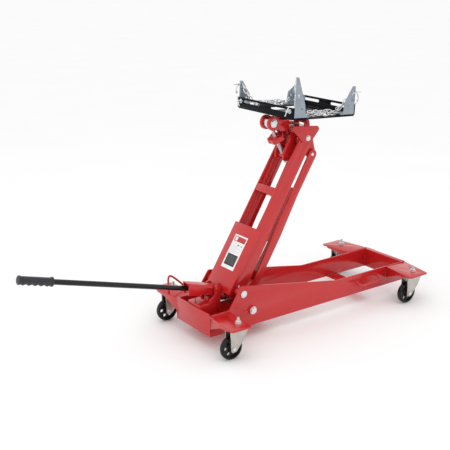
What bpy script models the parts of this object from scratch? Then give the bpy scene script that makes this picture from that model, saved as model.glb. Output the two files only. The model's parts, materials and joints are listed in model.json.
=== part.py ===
"""Low-profile floor transmission jack.

Metres, +Z up, +X towards the front casters, +Y to the left. The jack stands
on its four casters with its lift arm raised. Every solid is drawn in the
chassis frame (x = 0 on the rear swivel line, z = 0 on the floor), then the
datum empty moves the whole jack so that its footprint is centred.
"""
import math

import bmesh
import bpy
from mathutils import Matrix, Vector

# ---- driving dimensions ---------------------------------------------------
CENTRE_X = 0.1475              # middle of the overall length, from the rear swivels
GAP = 0.0003                   # between pieces that touch

# casters
WHEEL_R = 0.0508
WHEEL_W = 0.026
TRAIL = 0.036                  # wheel axle behind the swivel axis
SWIVEL_Y = 0.243
REAR_SWIVEL_X = 0.009
FRONT_SWIVEL_X = 1.035
FORK_TOP = 0.129
RACE_TOP = 0.1425
KINGPIN_R = 0.006
KINGPIN_TOP = 0.176

# chassis
PLATE_OUT = 0.126              # outer face of each side plate, from the middle
PLATE_T = 0.006
PLATE_IN = PLATE_OUT - PLATE_T
CHASSIS_BOTTOM = 0.056
RAIL_TOP = 0.149
REAR_X = -0.050
FRONT_X = 1.109
OUTRIGGER_Y = 0.302            # outer end of the outriggers
OUTRIGGER_T = 0.006

# lift linkage
ARM_ANGLE = math.radians(58.0)
ARM_LENGTH = 0.721
ARM_PIVOT = (0.125, 0.208)     # x, z
LINK_OFFSET = (-0.045, 0.077)  # along and across the arm, from each arm pivot
ARM_OUT = 0.066                # outer face of each arm plate
ARM_T = 0.008
ARM_REAR = -0.034              # rear edge of the arm plates, across the arm
LINK_WEB = 0.110               # front face of the link's web, across the arm
LINK_SLIT = 0.004              # half width of the slit between the web's two halves
LIFT_PIVOT_HOLE = 0.0104
PIN_HOLE = 0.0084
LINK_OUT = 0.0565
LINK_T = 0.006
LEVER_R = 0.070
LEVER_ANGLE = math.radians(28.0)
ROLLER_R = 0.011
PIVOT_R = 0.010
BOSS_OUT = PLATE_OUT + 0.013   # outer face of the link bosses

# power unit
RAM_Z = 0.143
RAM_R = 0.013
CYLINDER_R = 0.024
CYLINDER_FRONT = 0.062
BLOCK_X = (-0.043, 0.040)
BLOCK_TOP = 0.168
SOCKET_PIVOT = (0.050, 0.222)
HANDLE_ANGLE = math.radians(15.5)
HANDLE_LENGTH = 0.838
HANDLE_RISE = -0.0157          # handle axis, from the line of the socket's pivot
HANDLE_R = 0.0110
HANDLE_FRONT = 0.046           # front end of the tube, behind the pivot
SOCKET_HALF = 0.0225
LUG_INNER = 0.0295             # inner face of each pump lug
PLUNGER_X = 0.026
VALVE = (-0.020, -0.023, 0.095)

# head and tilt table
HINGE = (0.530, 0.8815)        # fore and aft tilt hinge, x, z
SCREW_TOP = (0.352, 0.893)     # pin that hangs the tilt screw from the table
TRUNNION = (0.429, 0.743)
SCREW_R = 0.0074
KNOB_R = 0.0345
KNOB_DROP = 0.080              # hand wheel below the screw's eye
SADDLE_X = 0.4925
SADDLE_Z = 0.9245              # underside of the saddle base at its middle
SADDLE_TILT = math.radians(2.8)
TILT_AXIS_DROP = 0.0100        # side tilt axis below the underside of the saddle base
SADDLE_HALF_X = 0.170
SADDLE_HALF_Y = 0.188
RAIL_HEIGHT = 0.049
BASE_T = 0.004
SIDE_SCREW = (0.084, 0.036)    # side tilt screw, in the saddle's own x and y
SLOT_Z = 0.0335
SLOT_Y = (0.037, 0.174)
CLAMP_Y = 0.164
BRACKET_Y = (0.127, 0.187)
BRACKET_HEIGHT = {"rear_right": 0.172, "front_right": 0.126, "rear_left": 0.118, "front_left": 0.090}
CHAIN_Y = (0.153, 0.176)

PLACES = {}                    # where each empty stands in the chassis frame


# ---- materials ------------------------------------------------------------
def make_material(name, colour, roughness, metallic):
    material = bpy.data.materials.new(name)
    material.use_nodes = True
    shader = material.node_tree.nodes["Principled BSDF"]
    shader.inputs["Base Color"].default_value = (*colour, 1.0)
    shader.inputs["Roughness"].default_value = roughness
    shader.inputs["Metallic"].default_value = metallic
    return material


# ---- solids ---------------------------------------------------------------
def add_object(name, mesh, material=None):
    obj = bpy.data.objects.new(name, mesh)
    bpy.context.scene.collection.objects.link(obj)
    if material is not None:
        obj.data.materials.append(material)
    return obj


def from_bmesh(name, bm, material=None, smooth=False):
    bmesh.ops.recalc_face_normals(bm, faces=bm.faces)
    mesh = bpy.data.meshes.new(name)
    bm.to_mesh(mesh)
    bm.free()
    if smooth:
        mesh.shade_smooth()
        mesh.set_sharp_from_angle(angle=math.radians(35))
    return add_object(name, mesh, material)


def arc(centre, radius, start, end, steps):
    """Points on a circle from start to end, in degrees."""
    points = []
    for i in range(steps + 1):
        a = math.radians(start + (end - start) * i / steps)
        points.append((centre[0] + radius * math.cos(a), centre[1] + radius * math.sin(a)))
    return points


def rounded(corners, steps=3):
    """An outline from corners (u, v, radius); radius 0 stays sharp."""
    outline = []
    count = len(corners)
    for i in range(count):
        u, v, radius = corners[i]
        here = Vector((u, v))
        if radius <= 0.0:
            outline.append((u, v))
            continue
        back = Vector(corners[i - 1][:2]) - here
        ahead = Vector(corners[(i + 1) % count][:2]) - here
        half = back.angle(ahead) / 2.0
        reach = min(radius / math.tan(half), 0.48 * back.length, 0.48 * ahead.length)
        radius = reach * math.tan(half)
        back.normalize()
        ahead.normalize()
        middle = here + (back + ahead).normalized() * (radius / math.sin(half))
        first = here + back * reach - middle
        last = here + ahead * reach - middle
        turn = first.angle_signed(last)
        for k in range(steps + 1):
            a = -turn * k / steps
            outline.append(tuple(middle + Matrix.Rotation(a, 2) @ first))
    return outline


def slab(name, outline, axis, low, high, material=None):
    """An outline in the plane across an axis, made solid from low to high."""
    place = {
        "X": lambda u, v, w: (w, u, v),
        "Y": lambda u, v, w: (u, w, v),
        "Z": lambda u, v, w: (u, v, w),
    }[axis]
    bm = bmesh.new()
    base = [bm.verts.new(place(u, v, low)) for u, v in outline]
    face = bm.faces.new(base)
    grown = bmesh.ops.extrude_face_region(bm, geom=[face])
    moved = [v for v in grown["geom"] if isinstance(v, bmesh.types.BMVert)]
    bmesh.ops.translate(bm, verts=moved, vec=Vector(place(0.0, 0.0, high - low)))
    return from_bmesh(name, bm, material)


def box(name, x, y, z, material=None):
    outline = [(x[0], y[0]), (x[1], y[0]), (x[1], y[1]), (x[0], y[1])]
    return slab(name, outline, "Z", z[0], z[1], material)


def turn_to(axis):
    return Vector((0.0, 0.0, 1.0)).rotation_difference(Vector(axis)).to_matrix().to_4x4()


def turned(name, profile, centre, axis, material=None, sides=16):
    """A solid of revolution; the profile is (radius, height) along the axis."""
    bm = bmesh.new()
    rings = []
    for radius, height in profile:
        if radius <= 1e-6:
            rings.append([bm.verts.new((0.0, 0.0, height))])
            continue
        ring = []
        for k in range(sides):
            a = 2.0 * math.pi * k / sides
            ring.append(bm.verts.new((radius * math.cos(a), radius * math.sin(a), height)))
        rings.append(ring)
    pairs = list(zip(rings, rings[1:]))
    if profile[0][0] > 1e-6 and profile[-1][0] > 1e-6:
        pairs.append((rings[-1], rings[0]))
    for lower, upper in pairs:
        for k in range(sides):
            j = (k + 1) % sides
            corners = [lower[k % len(lower)], lower[j % len(lower)]]
            corners += [upper[j % len(upper)], upper[k % len(upper)]]
            bm.faces.new(list(dict.fromkeys(corners)))
    bmesh.ops.transform(bm, matrix=Matrix.Translation(centre) @ turn_to(axis), verts=bm.verts)
    return from_bmesh(name, bm, material, smooth=True)


def rod(name, start, end, radius, material=None, sides=16):
    """A plain round bar between two points."""
    axis = Vector(end) - Vector(start)
    profile = [(0.0, 0.0), (radius, 0.0), (radius, axis.length), (0.0, axis.length)]
    return turned(name, profile, start, axis, material, sides)


def bent_rod(name, points, radius, material=None, sides=10):
    """A round bar bent along points."""
    curve = bpy.data.curves.new(name, "CURVE")
    curve.dimensions = "3D"
    curve.bevel_depth = radius
    curve.bevel_resolution = (sides - 4) // 2
    curve.use_fill_caps = True
    spline = curve.splines.new("POLY")
    spline.points.add(len(points) - 1)
    for spot, point in zip(spline.points, points):
        spot.co = (*point, 1.0)
    guide = bpy.data.objects.new(name + "_guide", curve)
    bpy.context.scene.collection.objects.link(guide)
    bpy.context.view_layer.update()
    seen = guide.evaluated_get(bpy.context.evaluated_depsgraph_get())
    mesh = bpy.data.meshes.new_from_object(seen)
    bpy.data.objects.remove(guide)
    bm = bmesh.new()
    bm.from_mesh(mesh)
    bmesh.ops.remove_doubles(bm, verts=bm.verts, dist=1e-6)
    bpy.data.meshes.remove(mesh)
    return from_bmesh(name, bm, material, smooth=True)


def combine(base, others, operation):
    """Joins or cuts solids for good and clears the helpers away."""
    for other in others:
        modifier = base.modifiers.new(operation.lower(), "BOOLEAN")
        modifier.operation = operation
        modifier.solver = "EXACT"
        modifier.object = other
    bpy.context.view_layer.update()
    seen = base.evaluated_get(bpy.context.evaluated_depsgraph_get())
    mesh = bpy.data.meshes.new_from_object(seen)
    base.modifiers.clear()
    base.data = mesh
    mesh.name = base.name
    for other in others:
        bpy.data.objects.remove(other)
    return base


def weld(base, *others):
    return combine(base, others, "UNION")


def cut(base, *others):
    return combine(base, others, "DIFFERENCE")


def transformed(obj, matrix):
    obj.data.transform(matrix)
    return obj


# ---- the arm's own directions ---------------------------------------------
ALONG = (math.cos(ARM_ANGLE), math.sin(ARM_ANGLE))
ACROSS = (math.sin(ARM_ANGLE), -math.cos(ARM_ANGLE))


def on_arm(s, n):
    """x, z of a point s along the arm and n in front of its centre line."""
    return (
        ARM_PIVOT[0] + s * ALONG[0] + n * ACROSS[0],
        ARM_PIVOT[1] + s * ALONG[1] + n * ACROSS[1],
    )


def arm_outline(corners, steps=3):
    return [on_arm(s, n) for s, n in rounded(corners, steps)]


HEAD_PIVOT = on_arm(ARM_LENGTH, 0.0)
LINK_PIVOT = on_arm(*LINK_OFFSET)
LINK_HEAD_PIVOT = on_arm(ARM_LENGTH + LINK_OFFSET[0], LINK_OFFSET[1])
ROLLER = (
    ARM_PIVOT[0] + LEVER_R * math.sin(LEVER_ANGLE),
    ARM_PIVOT[1] - LEVER_R * math.cos(LEVER_ANGLE),
)


def cross_hole(point, radius, half=0.2, sides=16):
    """A cutter across the whole jack at x, z."""
    return rod("hole", (point[0], -half, point[1]), (point[0], half, point[1]), radius, None, sides)


def cross_pin(name, point, radius, half, head_r, head_t, material):
    """A pin across the jack with a head at each end."""
    end = -half - head_t
    profile = [(0.0, end), (head_r * 0.8, end), (head_r, -half - head_t * 0.6), (head_r, -half)]
    profile.append((radius, -half))
    profile += [(r, -h) for r, h in reversed(profile)]
    return turned(name, profile, (point[0], 0.0, point[1]), (0.0, 1.0, 0.0), material)


# ---- chassis --------------------------------------------------------------
def make_side_plate(side, label, paint):
    outline = rounded([
        (REAR_X, CHASSIS_BOTTOM, 0.0), (FRONT_X, CHASSIS_BOTTOM, 0.0), (FRONT_X, RAIL_TOP, 0.0),
        (0.660, RAIL_TOP, 0.10), (0.116, 0.246, 0.012), (0.050, 0.152, 0.006), (REAR_X, 0.152, 0.0),
    ])
    low, high = sorted((side * PLATE_IN, side * PLATE_OUT))
    plate = slab("side_plate_" + label, outline, "Y", low, high, paint)
    inside, outside = side * (LINK_OUT + 0.0006), side * BOSS_OUT
    centre = (LINK_PIVOT[0], 0.0, LINK_PIVOT[1])
    steps = [(0.0, inside), (0.0165, inside), (0.0165, side * 0.122), (0.0195, side * 0.122)]
    steps += [(0.0195, outside), (0.0, outside)]
    weld(plate, turned("boss", steps, centre, (0.0, 1.0, 0.0)))
    return cut(plate, cross_hole(ARM_PIVOT, LIFT_PIVOT_HOLE), cross_hole(LINK_PIVOT, 0.0094))


def make_link_stub(side, label, steel):
    """The bolt that carries one lower link eye."""
    out = BOSS_OUT + GAP
    tip = LINK_OUT - LINK_T - 0.006
    profile = [(0.0, -0.009), (0.013, -0.009), (0.0165, -0.006), (0.0165, 0.0), (0.009, 0.0)]
    profile += [(0.009, out - tip), (0.0, out - tip)]
    centre = (LINK_PIVOT[0], side * out, LINK_PIVOT[1])
    return turned("link_pivot_bolt_" + label, profile, centre, (0.0, -side, 0.0), steel)


def make_tray(paint):
    """Bent sheet floor and rear wall that carry the power unit."""
    wide = PLATE_IN - GAP
    low = CHASSIS_BOTTOM + 0.0005
    outline = [(REAR_X, low), (0.300, low), (0.300, low + 0.005), (REAR_X + 0.005, low + 0.005)]
    outline += [(REAR_X + 0.005, 0.1575), (REAR_X, 0.1575)]
    return slab("rear_tray", outline, "Y", -wide, wide, paint)


def make_front_crossmember(paint):
    wide = PLATE_IN - GAP
    low = CHASSIS_BOTTOM + 0.0005
    rear, front = FRONT_X - 0.024, FRONT_X
    outline = [(front, low), (front, low + 0.005), (rear + 0.005, low + 0.005)]
    outline += [(rear + 0.005, RAIL_TOP - 0.005), (front, RAIL_TOP - 0.005), (front, RAIL_TOP)]
    outline += [(rear, RAIL_TOP), (rear, low)]
    return slab("front_crossmember", outline, "Y", -wide, wide, paint)


def make_outrigger(side, label, root_x, end_x, swivel_x, paint):
    """Folded bracket that carries a caster: top plate, rear and front flanges."""
    root = side * (PLATE_OUT + GAP)
    end = side * OUTRIGGER_Y
    under = RAIL_TOP - OUTRIGGER_T
    top = rounded([
        (root_x[0], root, 0.0), (end_x[0], end, 0.012), (end_x[1], end, 0.012),
        (root_x[1], root, 0.0),
    ])
    bracket = slab("outrigger_" + label, top, "Z", under, RAIL_TOP, paint)
    for k, depth, share in ((0, 0.050, 0.80), (1, 0.034, 0.40)):
        a = Vector((root_x[k], root))
        b = Vector((end_x[k], end))
        along = (b - a).normalized()
        inward = Vector((-along.y, along.x)) * (1 if (k == 0) == (side < 0) else -1)
        reach = (b - a).length * share
        bm = bmesh.new()
        shape = [(0.001, 0.003), (reach, 0.003), (reach, -0.006), (reach * 0.62, -0.012)]
        shape.append((0.001, -depth))
        verts = []
        for offset in (0.0006, 0.0056):
            for u, v in shape:
                spot = a + along * u + inward * offset
                verts.append(bm.verts.new((spot.x, spot.y, under + v)))
        n = len(shape)
        bm.faces.new(verts[:n])
        bm.faces.new(verts[n:])
        for i in range(n):
            j = (i + 1) % n
            bm.faces.new((verts[i], verts[j], verts[n + j], verts[n + i]))
        weld(bracket, from_bmesh("flange", bm))
    spot = (swivel_x, side * SWIVEL_Y)
    hole = rod("hole", (*spot, 0.10), (*spot, 0.20), KINGPIN_R + 0.0006)
    return cut(bracket, hole)


def make_carry_handle(side, label, paint):
    """A U of round bar on the side of the frame."""
    wall = side * (PLATE_OUT + GAP)
    out = side * 0.168
    points = [(0.769, wall, 0.1235), (0.769, side * 0.134, 0.1235), (0.771, side * 0.150, 0.1165)]
    points += [(0.777, side * 0.163, 0.1115), (0.790, out, 0.1085)]
    points += [(0.888, out, 0.1095), (0.901, side * 0.163, 0.1125)]
    points += [(0.906, side * 0.150, 0.1185), (0.907, side * 0.134, 0.1255), (0.907, wall, 0.1255)]
    return bent_rod("carry_handle_" + label, points, 0.005, paint)


def make_rest_hoop(paint):
    """Bent bar on the left rear outrigger, where the handle is parked."""
    y = 0.200
    points = [(-0.042, y, RAIL_TOP + GAP), (-0.045, y, 0.195), (-0.043, y, 0.218)]
    points += [(-0.036, y, 0.226), (-0.028, y, 0.223), (0.006, y, 0.196)]
    points += [(0.040, y, 0.166), (0.048, y, RAIL_TOP + GAP + 0.004)]
    return bent_rod("handle_rest_hoop", points, 0.0045, paint)


# ---- casters --------------------------------------------------------------
def make_fork(x, y, label, zinc):
    """Pressed fork with its race, kingpin, nut and axle bolt."""
    axle = (x - TRAIL, WHEEL_R)
    inner = WHEEL_W / 2 + 0.0035
    outer = inner + 0.0035
    top, foot = FORK_TOP - 0.001, WHEEL_R - 0.016
    leg = rounded([
        (x + 0.040, top, 0.004), (x - 0.052, top, 0.004), (axle[0] - 0.0125, foot, 0.010),
        (axle[0] + 0.0135, foot, 0.010), (x + 0.020, 0.085, 0.03),
    ], 2)
    fork = slab("caster_fork_" + label, leg, "Y", y - outer, y - inner, zinc)
    weld(fork, slab("leg", leg, "Y", y + inner, y + outer))
    half = outer - 0.0005
    weld(fork, box("top", (x - 0.046, x + 0.034), (y - half, y + half), (FORK_TOP - 0.004, FORK_TOP)))
    nut_low = RAIL_TOP + GAP
    spindle = [(0.0, FORK_TOP - 0.002), (0.031, FORK_TOP - 0.002), (0.033, FORK_TOP + 0.003)]
    spindle += [(0.029, RACE_TOP), (KINGPIN_R, RACE_TOP), (KINGPIN_R, nut_low), (0.0125, nut_low)]
    spindle += [(0.0125, nut_low + 0.002), (0.0098, nut_low + 0.0025), (0.0098, nut_low + 0.010)]
    spindle += [(KINGPIN_R, nut_low + 0.011), (KINGPIN_R, KINGPIN_TOP - 0.001), (0.0, KINGPIN_TOP)]
    weld(fork, turned("spindle", spindle, (x, y, 0.0), (0.0, 0.0, 1.0), None, 12))
    half = outer + 0.004
    bolt = [(0.0, -half), (0.0085, -half), (0.0085, -outer + 0.0005), (0.006, -outer + 0.0005)]
    bolt += [(r, -h) for r, h in reversed(bolt)]
    return weld(fork, turned("bolt", bolt, (axle[0], y, axle[1]), (0.0, 1.0, 0.0), None, 10))


def make_wheel(x, y, label, plastic):
    """Moulded wheel with a dished web."""
    half = WHEEL_W / 2
    side = [(0.0068, half), (0.0165, half), (0.0175, 0.006), (0.0400, 0.006), (0.0405, half - 0.001)]
    side += [(WHEEL_R - 0.003, half - 0.001), (WHEEL_R, half - 0.005)]
    profile = side + [(r, -h) for r, h in reversed(side)]
    centre = (x - TRAIL, y, WHEEL_R)
    return turned("caster_wheel_" + label, profile, centre, (0.0, 1.0, 0.0), plastic, 24)


# ---- lift arm -------------------------------------------------------------
def make_arm_plate(side, label, paint):
    corners = [
        (-0.040, -0.034, 0.020), (-0.040, 0.040, 0.030), (0.070, 0.0515, 0.05), (0.190, 0.0475, 0.2),
        (0.330, 0.0390, 0.3), (0.748, 0.0320, 0.026), (0.748, ARM_REAR + 0.004, 0.026),
        (0.690, ARM_REAR, 0.05),
    ]
    low, high = sorted((side * (ARM_OUT - ARM_T), side * ARM_OUT))
    plate = slab("arm_plate_" + label, arm_outline(corners), "Y", low, high, paint)
    start = (ARM_PIVOT[0], side * (ARM_OUT - 0.002), ARM_PIVOT[1])
    boss = rod("boss", start, (start[0], side * (PLATE_IN - 0.0006), start[2]), 0.019)
    weld(plate, boss)
    return cut(plate, cross_hole(ARM_PIVOT, LIFT_PIVOT_HOLE), cross_hole(HEAD_PIVOT, PIN_HOLE))


def make_cover(paint):
    """Flat cover over the lower arm, with turned-down side edges."""
    low, high = -0.030, 0.272
    back = ARM_REAR - GAP
    outline = [on_arm(s, n) for s, n in
               ((low, back), (low, back - 0.004), (high, back - 0.004), (high, back))]
    cover = slab("arm_cover", outline, "Y", -0.083, 0.083, paint)
    for side in (-1, 1):
        lip = [on_arm(s, n) for s, n in
               ((low, back + 0.010), (low, back - 0.004), (high, back - 0.004), (high, back + 0.010))]
        a, b = sorted((side * 0.079, side * 0.083))
        weld(cover, slab("lip", lip, "Y", a, b))
    return cover


def make_brace(paint):
    """Box tube across the arm plates."""
    wide = ARM_OUT - ARM_T - GAP
    outer = arm_outline([
        (0.430, -0.034, 0.004), (0.466, -0.034, 0.004), (0.466, 0.002, 0.004), (0.430, 0.002, 0.004),
    ], 2)
    inner = [on_arm(s, n) for s, n in
             ((0.434, -0.030), (0.462, -0.030), (0.462, -0.002), (0.434, -0.002))]
    tube = slab("arm_brace", outer, "Y", -wide, wide, paint)
    return cut(tube, slab("bore", inner, "Y", -0.1, 0.1))


def make_lever(paint):
    """Cross tube at the arm pivot with the two cheeks that the ram pushes."""
    wide = ARM_OUT - ARM_T - GAP
    start = (ARM_PIVOT[0], -wide, ARM_PIVOT[1])
    lever = rod("arm_lever", start, (start[0], wide, start[2]), 0.020, paint)
    down = Vector((ROLLER[0] - ARM_PIVOT[0], ROLLER[1] - ARM_PIVOT[1])).normalized()
    aside = Vector((down.y, -down.x))
    for side in (-1, 1):
        outline = []
        foot = LEVER_R + 0.013
        corners = ((0.0, -0.017, 0.0), (foot, -0.0125, 0.0115), (foot, 0.0125, 0.0115), (0.0, 0.017, 0.0))
        for u, v, r in corners:
            spot = Vector(ARM_PIVOT) + down * u + aside * v
            outline.append((spot.x, spot.y, r))
        a, b = sorted((side * 0.0205, side * 0.0285))
        weld(lever, slab("cheek", rounded(outline), "Y", a, b))
    return cut(lever, cross_hole(ARM_PIVOT, LIFT_PIVOT_HOLE), cross_hole(ROLLER, 0.0063))


def make_roller(steel):
    profile = [(0.0, -0.030), (0.006, -0.030), (0.006, -0.0200), (ROLLER_R, -0.0200)]
    profile += [(r, -h) for r, h in reversed(profile)]
    return turned("lever_roller", profile, (ROLLER[0], 0.0, ROLLER[1]), (0.0, 1.0, 0.0), steel)


def make_link(paint):
    """Lower parallel link: two cheeks, a slit front web and a foot bar."""
    s0, n0 = LINK_OFFSET
    s1 = ARM_LENGTH + s0
    outline = arm_outline([
        (s0 - 0.022, n0 - 0.017, 0.018), (s0 - 0.022, n0 + 0.020, 0.018), (0.090, 0.1155, 0.06),
        (0.290, 0.1135, 0.3), (0.500, 0.1010, 0.3), (s1 + 0.022, 0.1005, 0.021),
        (s1 + 0.022, 0.0565, 0.021), (0.450, 0.0650, 0.3), (0.330, 0.0685, 0.3), (0.190, 0.0765, 0.2),
        (0.080, 0.0825, 0.05),
    ], 3)
    link = slab("parallel_link", outline, "Y", -LINK_OUT, -LINK_OUT + LINK_T, paint)
    weld(link, slab("cheek", outline, "Y", LINK_OUT - LINK_T, LINK_OUT))
    wide = LINK_OUT - 0.001
    back = LINK_WEB - 0.005
    web = [(0.100, back), (0.100, LINK_WEB), (0.300, LINK_WEB), (0.500, 0.0995), (0.600, 0.0995)]
    web += [(0.600, 0.0945), (0.500, 0.0945), (0.300, back)]
    weld(link, slab("web", [on_arm(s, n) for s, n in web], "Y", -wide, wide))
    foot = [on_arm(s, n) for s, n in ((0.070, 0.085), (0.112, 0.085), (0.112, 0.108), (0.070, 0.108))]
    weld(link, slab("foot", foot, "Y", -wide, wide))
    slit = [on_arm(s, n) for s, n in ((0.114, 0.090), (0.252, 0.090), (0.252, 0.120), (0.114, 0.120))]
    cut(link, slab("slit", slit, "Y", -LINK_SLIT, LINK_SLIT))
    notch = [on_arm(s, n) for s, n in ((0.512, 0.085), (0.610, 0.085), (0.610, 0.110), (0.512, 0.110))]
    cut(link, slab("notch", notch, "Y", -0.036, 0.036))
    return cut(link, cross_hole(LINK_PIVOT, 0.0096), cross_hole(LINK_HEAD_PIVOT, PIN_HOLE))


# ---- power unit -----------------------------------------------------------
def make_pump_block(paint):
    """Cast base with the ram bore, the pump tower and the socket lugs."""
    floor = CHASSIS_BOTTOM + 0.0058
    block = box("pump_block", BLOCK_X, (-0.042, 0.042), (floor, BLOCK_TOP), paint)
    start, end = (PLUNGER_X, 0.0, BLOCK_TOP - 0.006), (PLUNGER_X, 0.0, 0.186)
    weld(block, rod("tower", start, end, 0.0137, None, 20))
    lug = rounded([
        (0.014, 0.150, 0.0), (0.034, 0.134, 0.0), (0.069, 0.134, 0.006), (0.069, 0.2325, 0.007),
        (0.0405, 0.2385, 0.010), (0.0405, 0.194, 0.012), (0.014, 0.178, 0.010),
    ])
    for side in (-1, 1):
        a, b = sorted((side * LUG_INNER, side * (LUG_INNER + 0.007)))
        weld(block, slab("lug", lug, "Y", a, b))
    bore = rod("bore", (-0.0405, 0.0, RAM_Z), (0.05, 0.0, RAM_Z), RAM_R + 0.0030)
    well = rod("well", (PLUNGER_X, 0.0, 0.1605), (PLUNGER_X, 0.0, 0.20), 0.0072, None, 12)
    valve = rod("valve", (VALVE[0], -0.050, VALVE[2]), (VALVE[0], -0.022, VALVE[2]), 0.0066)
    return cut(block, well, bore, valve, cross_hole(SOCKET_PIVOT, 0.0064))


def make_cylinder(steel):
    start = BLOCK_X[1] + GAP
    inner = RAM_R + 0.0007
    profile = [(inner, 0.0), (CYLINDER_R, 0.0), (CYLINDER_R, CYLINDER_FRONT - start - 0.006)]
    profile += [(CYLINDER_R - 0.003, CYLINDER_FRONT - start), (inner, CYLINDER_FRONT - start)]
    return turned("ram_cylinder", profile, (start, 0.0, RAM_Z), (1.0, 0.0, 0.0), steel, 28)


def make_ram(steel):
    """Piston rod with the thrust plate that meets the lever's roller."""
    face = ROLLER[0] - ROLLER_R - 0.0020
    ram = rod("ram", (0.031, 0.0, RAM_Z), (face - 0.004, 0.0, RAM_Z), RAM_R, steel, 28)
    half, low, high = 0.0185, RAM_Z - 0.019, RAM_Z + 0.020
    corners = [(-half, low, 0.003), (half, low, 0.003), (half, high, 0.003), (-half, high, 0.003)]
    pad = rounded(corners, 2)
    return weld(ram, slab("pad", pad, "X", face - 0.006, face))


def make_release_valve(zinc):
    """Release screw with its cross bar, on the right of the block."""
    profile = [(0.0, 0.0), (0.006, 0.0), (0.006, 0.019), (0.010, 0.0195), (0.010, 0.030), (0.0, 0.031)]
    valve = turned("release_valve", profile, VALVE, (0.0, -1.0, 0.0), zinc, 18)
    x, y, z = VALVE[0], VALVE[1] - 0.025, VALVE[2]
    return weld(valve, rod("bar", (x, y, z - 0.020), (x, y, z + 0.020), 0.003, None, 12))


def make_plunger(steel):
    profile = [(0.0, 0.1660), (0.0066, 0.1660), (0.0066, 0.190), (0.011, 0.1905), (0.011, 0.1955)]
    profile.append((0.0, 0.1955))
    return turned("pump_plunger", profile, (PLUNGER_X, 0.0, 0.0), (0.0, 0.0, 1.0), steel, 20)


def along_handle(u, v):
    """x, z at u behind the socket's pivot and v above the handle's axis."""
    c, s = math.cos(HANDLE_ANGLE), math.sin(HANDLE_ANGLE)
    return (SOCKET_PIVOT[0] - u * c + v * s, SOCKET_PIVOT[1] + u * s + v * c)


def make_socket(paint):
    """Folded channel that takes the pump handle, open below."""
    top = 0.0095
    wall = 0.0040
    side_shape = [(-0.022, -0.030), (-0.022, top), (0.1395, top), (0.126, -0.0415), (0.075, -0.0400)]
    side_shape += [(0.050, -0.0310), (0.024, -0.0340), (0.0, -0.0365)]
    outline = [along_handle(u, v) for u, v in side_shape]
    socket = slab("handle_socket", outline, "Y", -SOCKET_HALF, SOCKET_HALF, paint)
    inner_shape = [(-0.030, -0.060), (-0.030, top - wall), (0.150, top - wall), (0.150, -0.060)]
    inner = [along_handle(u, v) for u, v in inner_shape]
    cut(socket, slab("channel", inner, "Y", wall - SOCKET_HALF, SOCKET_HALF - wall))
    reach = LUG_INNER + 0.0075
    stub = [(0.0, -reach - 0.004), (0.0095, -reach - 0.004), (0.0095, -reach), (0.006, -reach)]
    stub += [(r, -h) for r, h in reversed(stub)]
    pivot = (SOCKET_PIVOT[0], 0.0, SOCKET_PIVOT[1])
    weld(socket, turned("pin", stub, pivot, (0.0, 1.0, 0.0), None, 16))
    weld(socket, rod("press", (PLUNGER_X, -0.021, 0.2045), (PLUNGER_X, 0.021, 0.2045), 0.0065, None, 16))
    rear, front = along_handle(0.122, HANDLE_RISE), along_handle(0.062, HANDLE_RISE)
    ends = ((rear[0], 0.0, rear[1]), (front[0], 0.0, front[1]))
    weld(socket, rod("sleeve", *ends, 0.0196, None, 18))
    rear, front = along_handle(0.160, HANDLE_RISE), along_handle(0.040, HANDLE_RISE)
    ends = ((rear[0], 0.0, rear[1]), (front[0], 0.0, front[1]))
    cut(socket, rod("bore", *ends, HANDLE_R + GAP, None, 20))
    low, high = along_handle(-0.0136, 0.0), along_handle(-0.0136, 0.040)
    return cut(socket, rod("hole", (low[0], 0.0, low[1]), (high[0], 0.0, high[1]), 0.0040, None, 12))


def handle_span(start, end):
    """Start point and direction of a stretch of the handle's axis."""
    a, b = along_handle(start, HANDLE_RISE), along_handle(end, HANDLE_RISE)
    return Vector((a[0], 0.0, a[1])), Vector((b[0] - a[0], 0.0, b[1] - a[1]))


def make_handle(black):
    """Pump handle tube, its front end inside the socket."""
    start, axis = handle_span(HANDLE_FRONT, HANDLE_FRONT + HANDLE_LENGTH)
    bore = HANDLE_R - 0.0025
    profile = [(bore, 0.0), (HANDLE_R, 0.0), (HANDLE_R, HANDLE_LENGTH), (bore, HANDLE_LENGTH)]
    return turned("pump_handle", profile, start, axis, black, 20)


def make_grip(rubber):
    """Moulded grip with finger grooves, closed at its end."""
    length, cap = 0.140, 0.004
    end = HANDLE_FRONT + HANDLE_LENGTH
    start, axis = handle_span(end - length + cap, end)
    profile = [(0.0, 0.0), (0.0185, 0.0), (0.0185, 0.006), (0.0165, 0.010)]
    for k in range(1, 9):
        profile.append((0.0175 if k % 2 else 0.0155, 0.010 + (length - 0.018) * k / 8))
    profile += [(0.0175, length - cap), (0.0150, length), (0.0, length)]
    grip = turned("handle_grip", profile, start, axis, rubber, 16)
    along = axis.normalized()
    bottom = start + along * (length - cap + GAP)
    return cut(grip, rod("bore", start - along * 0.01, bottom, HANDLE_R + GAP, None, 20))


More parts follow.
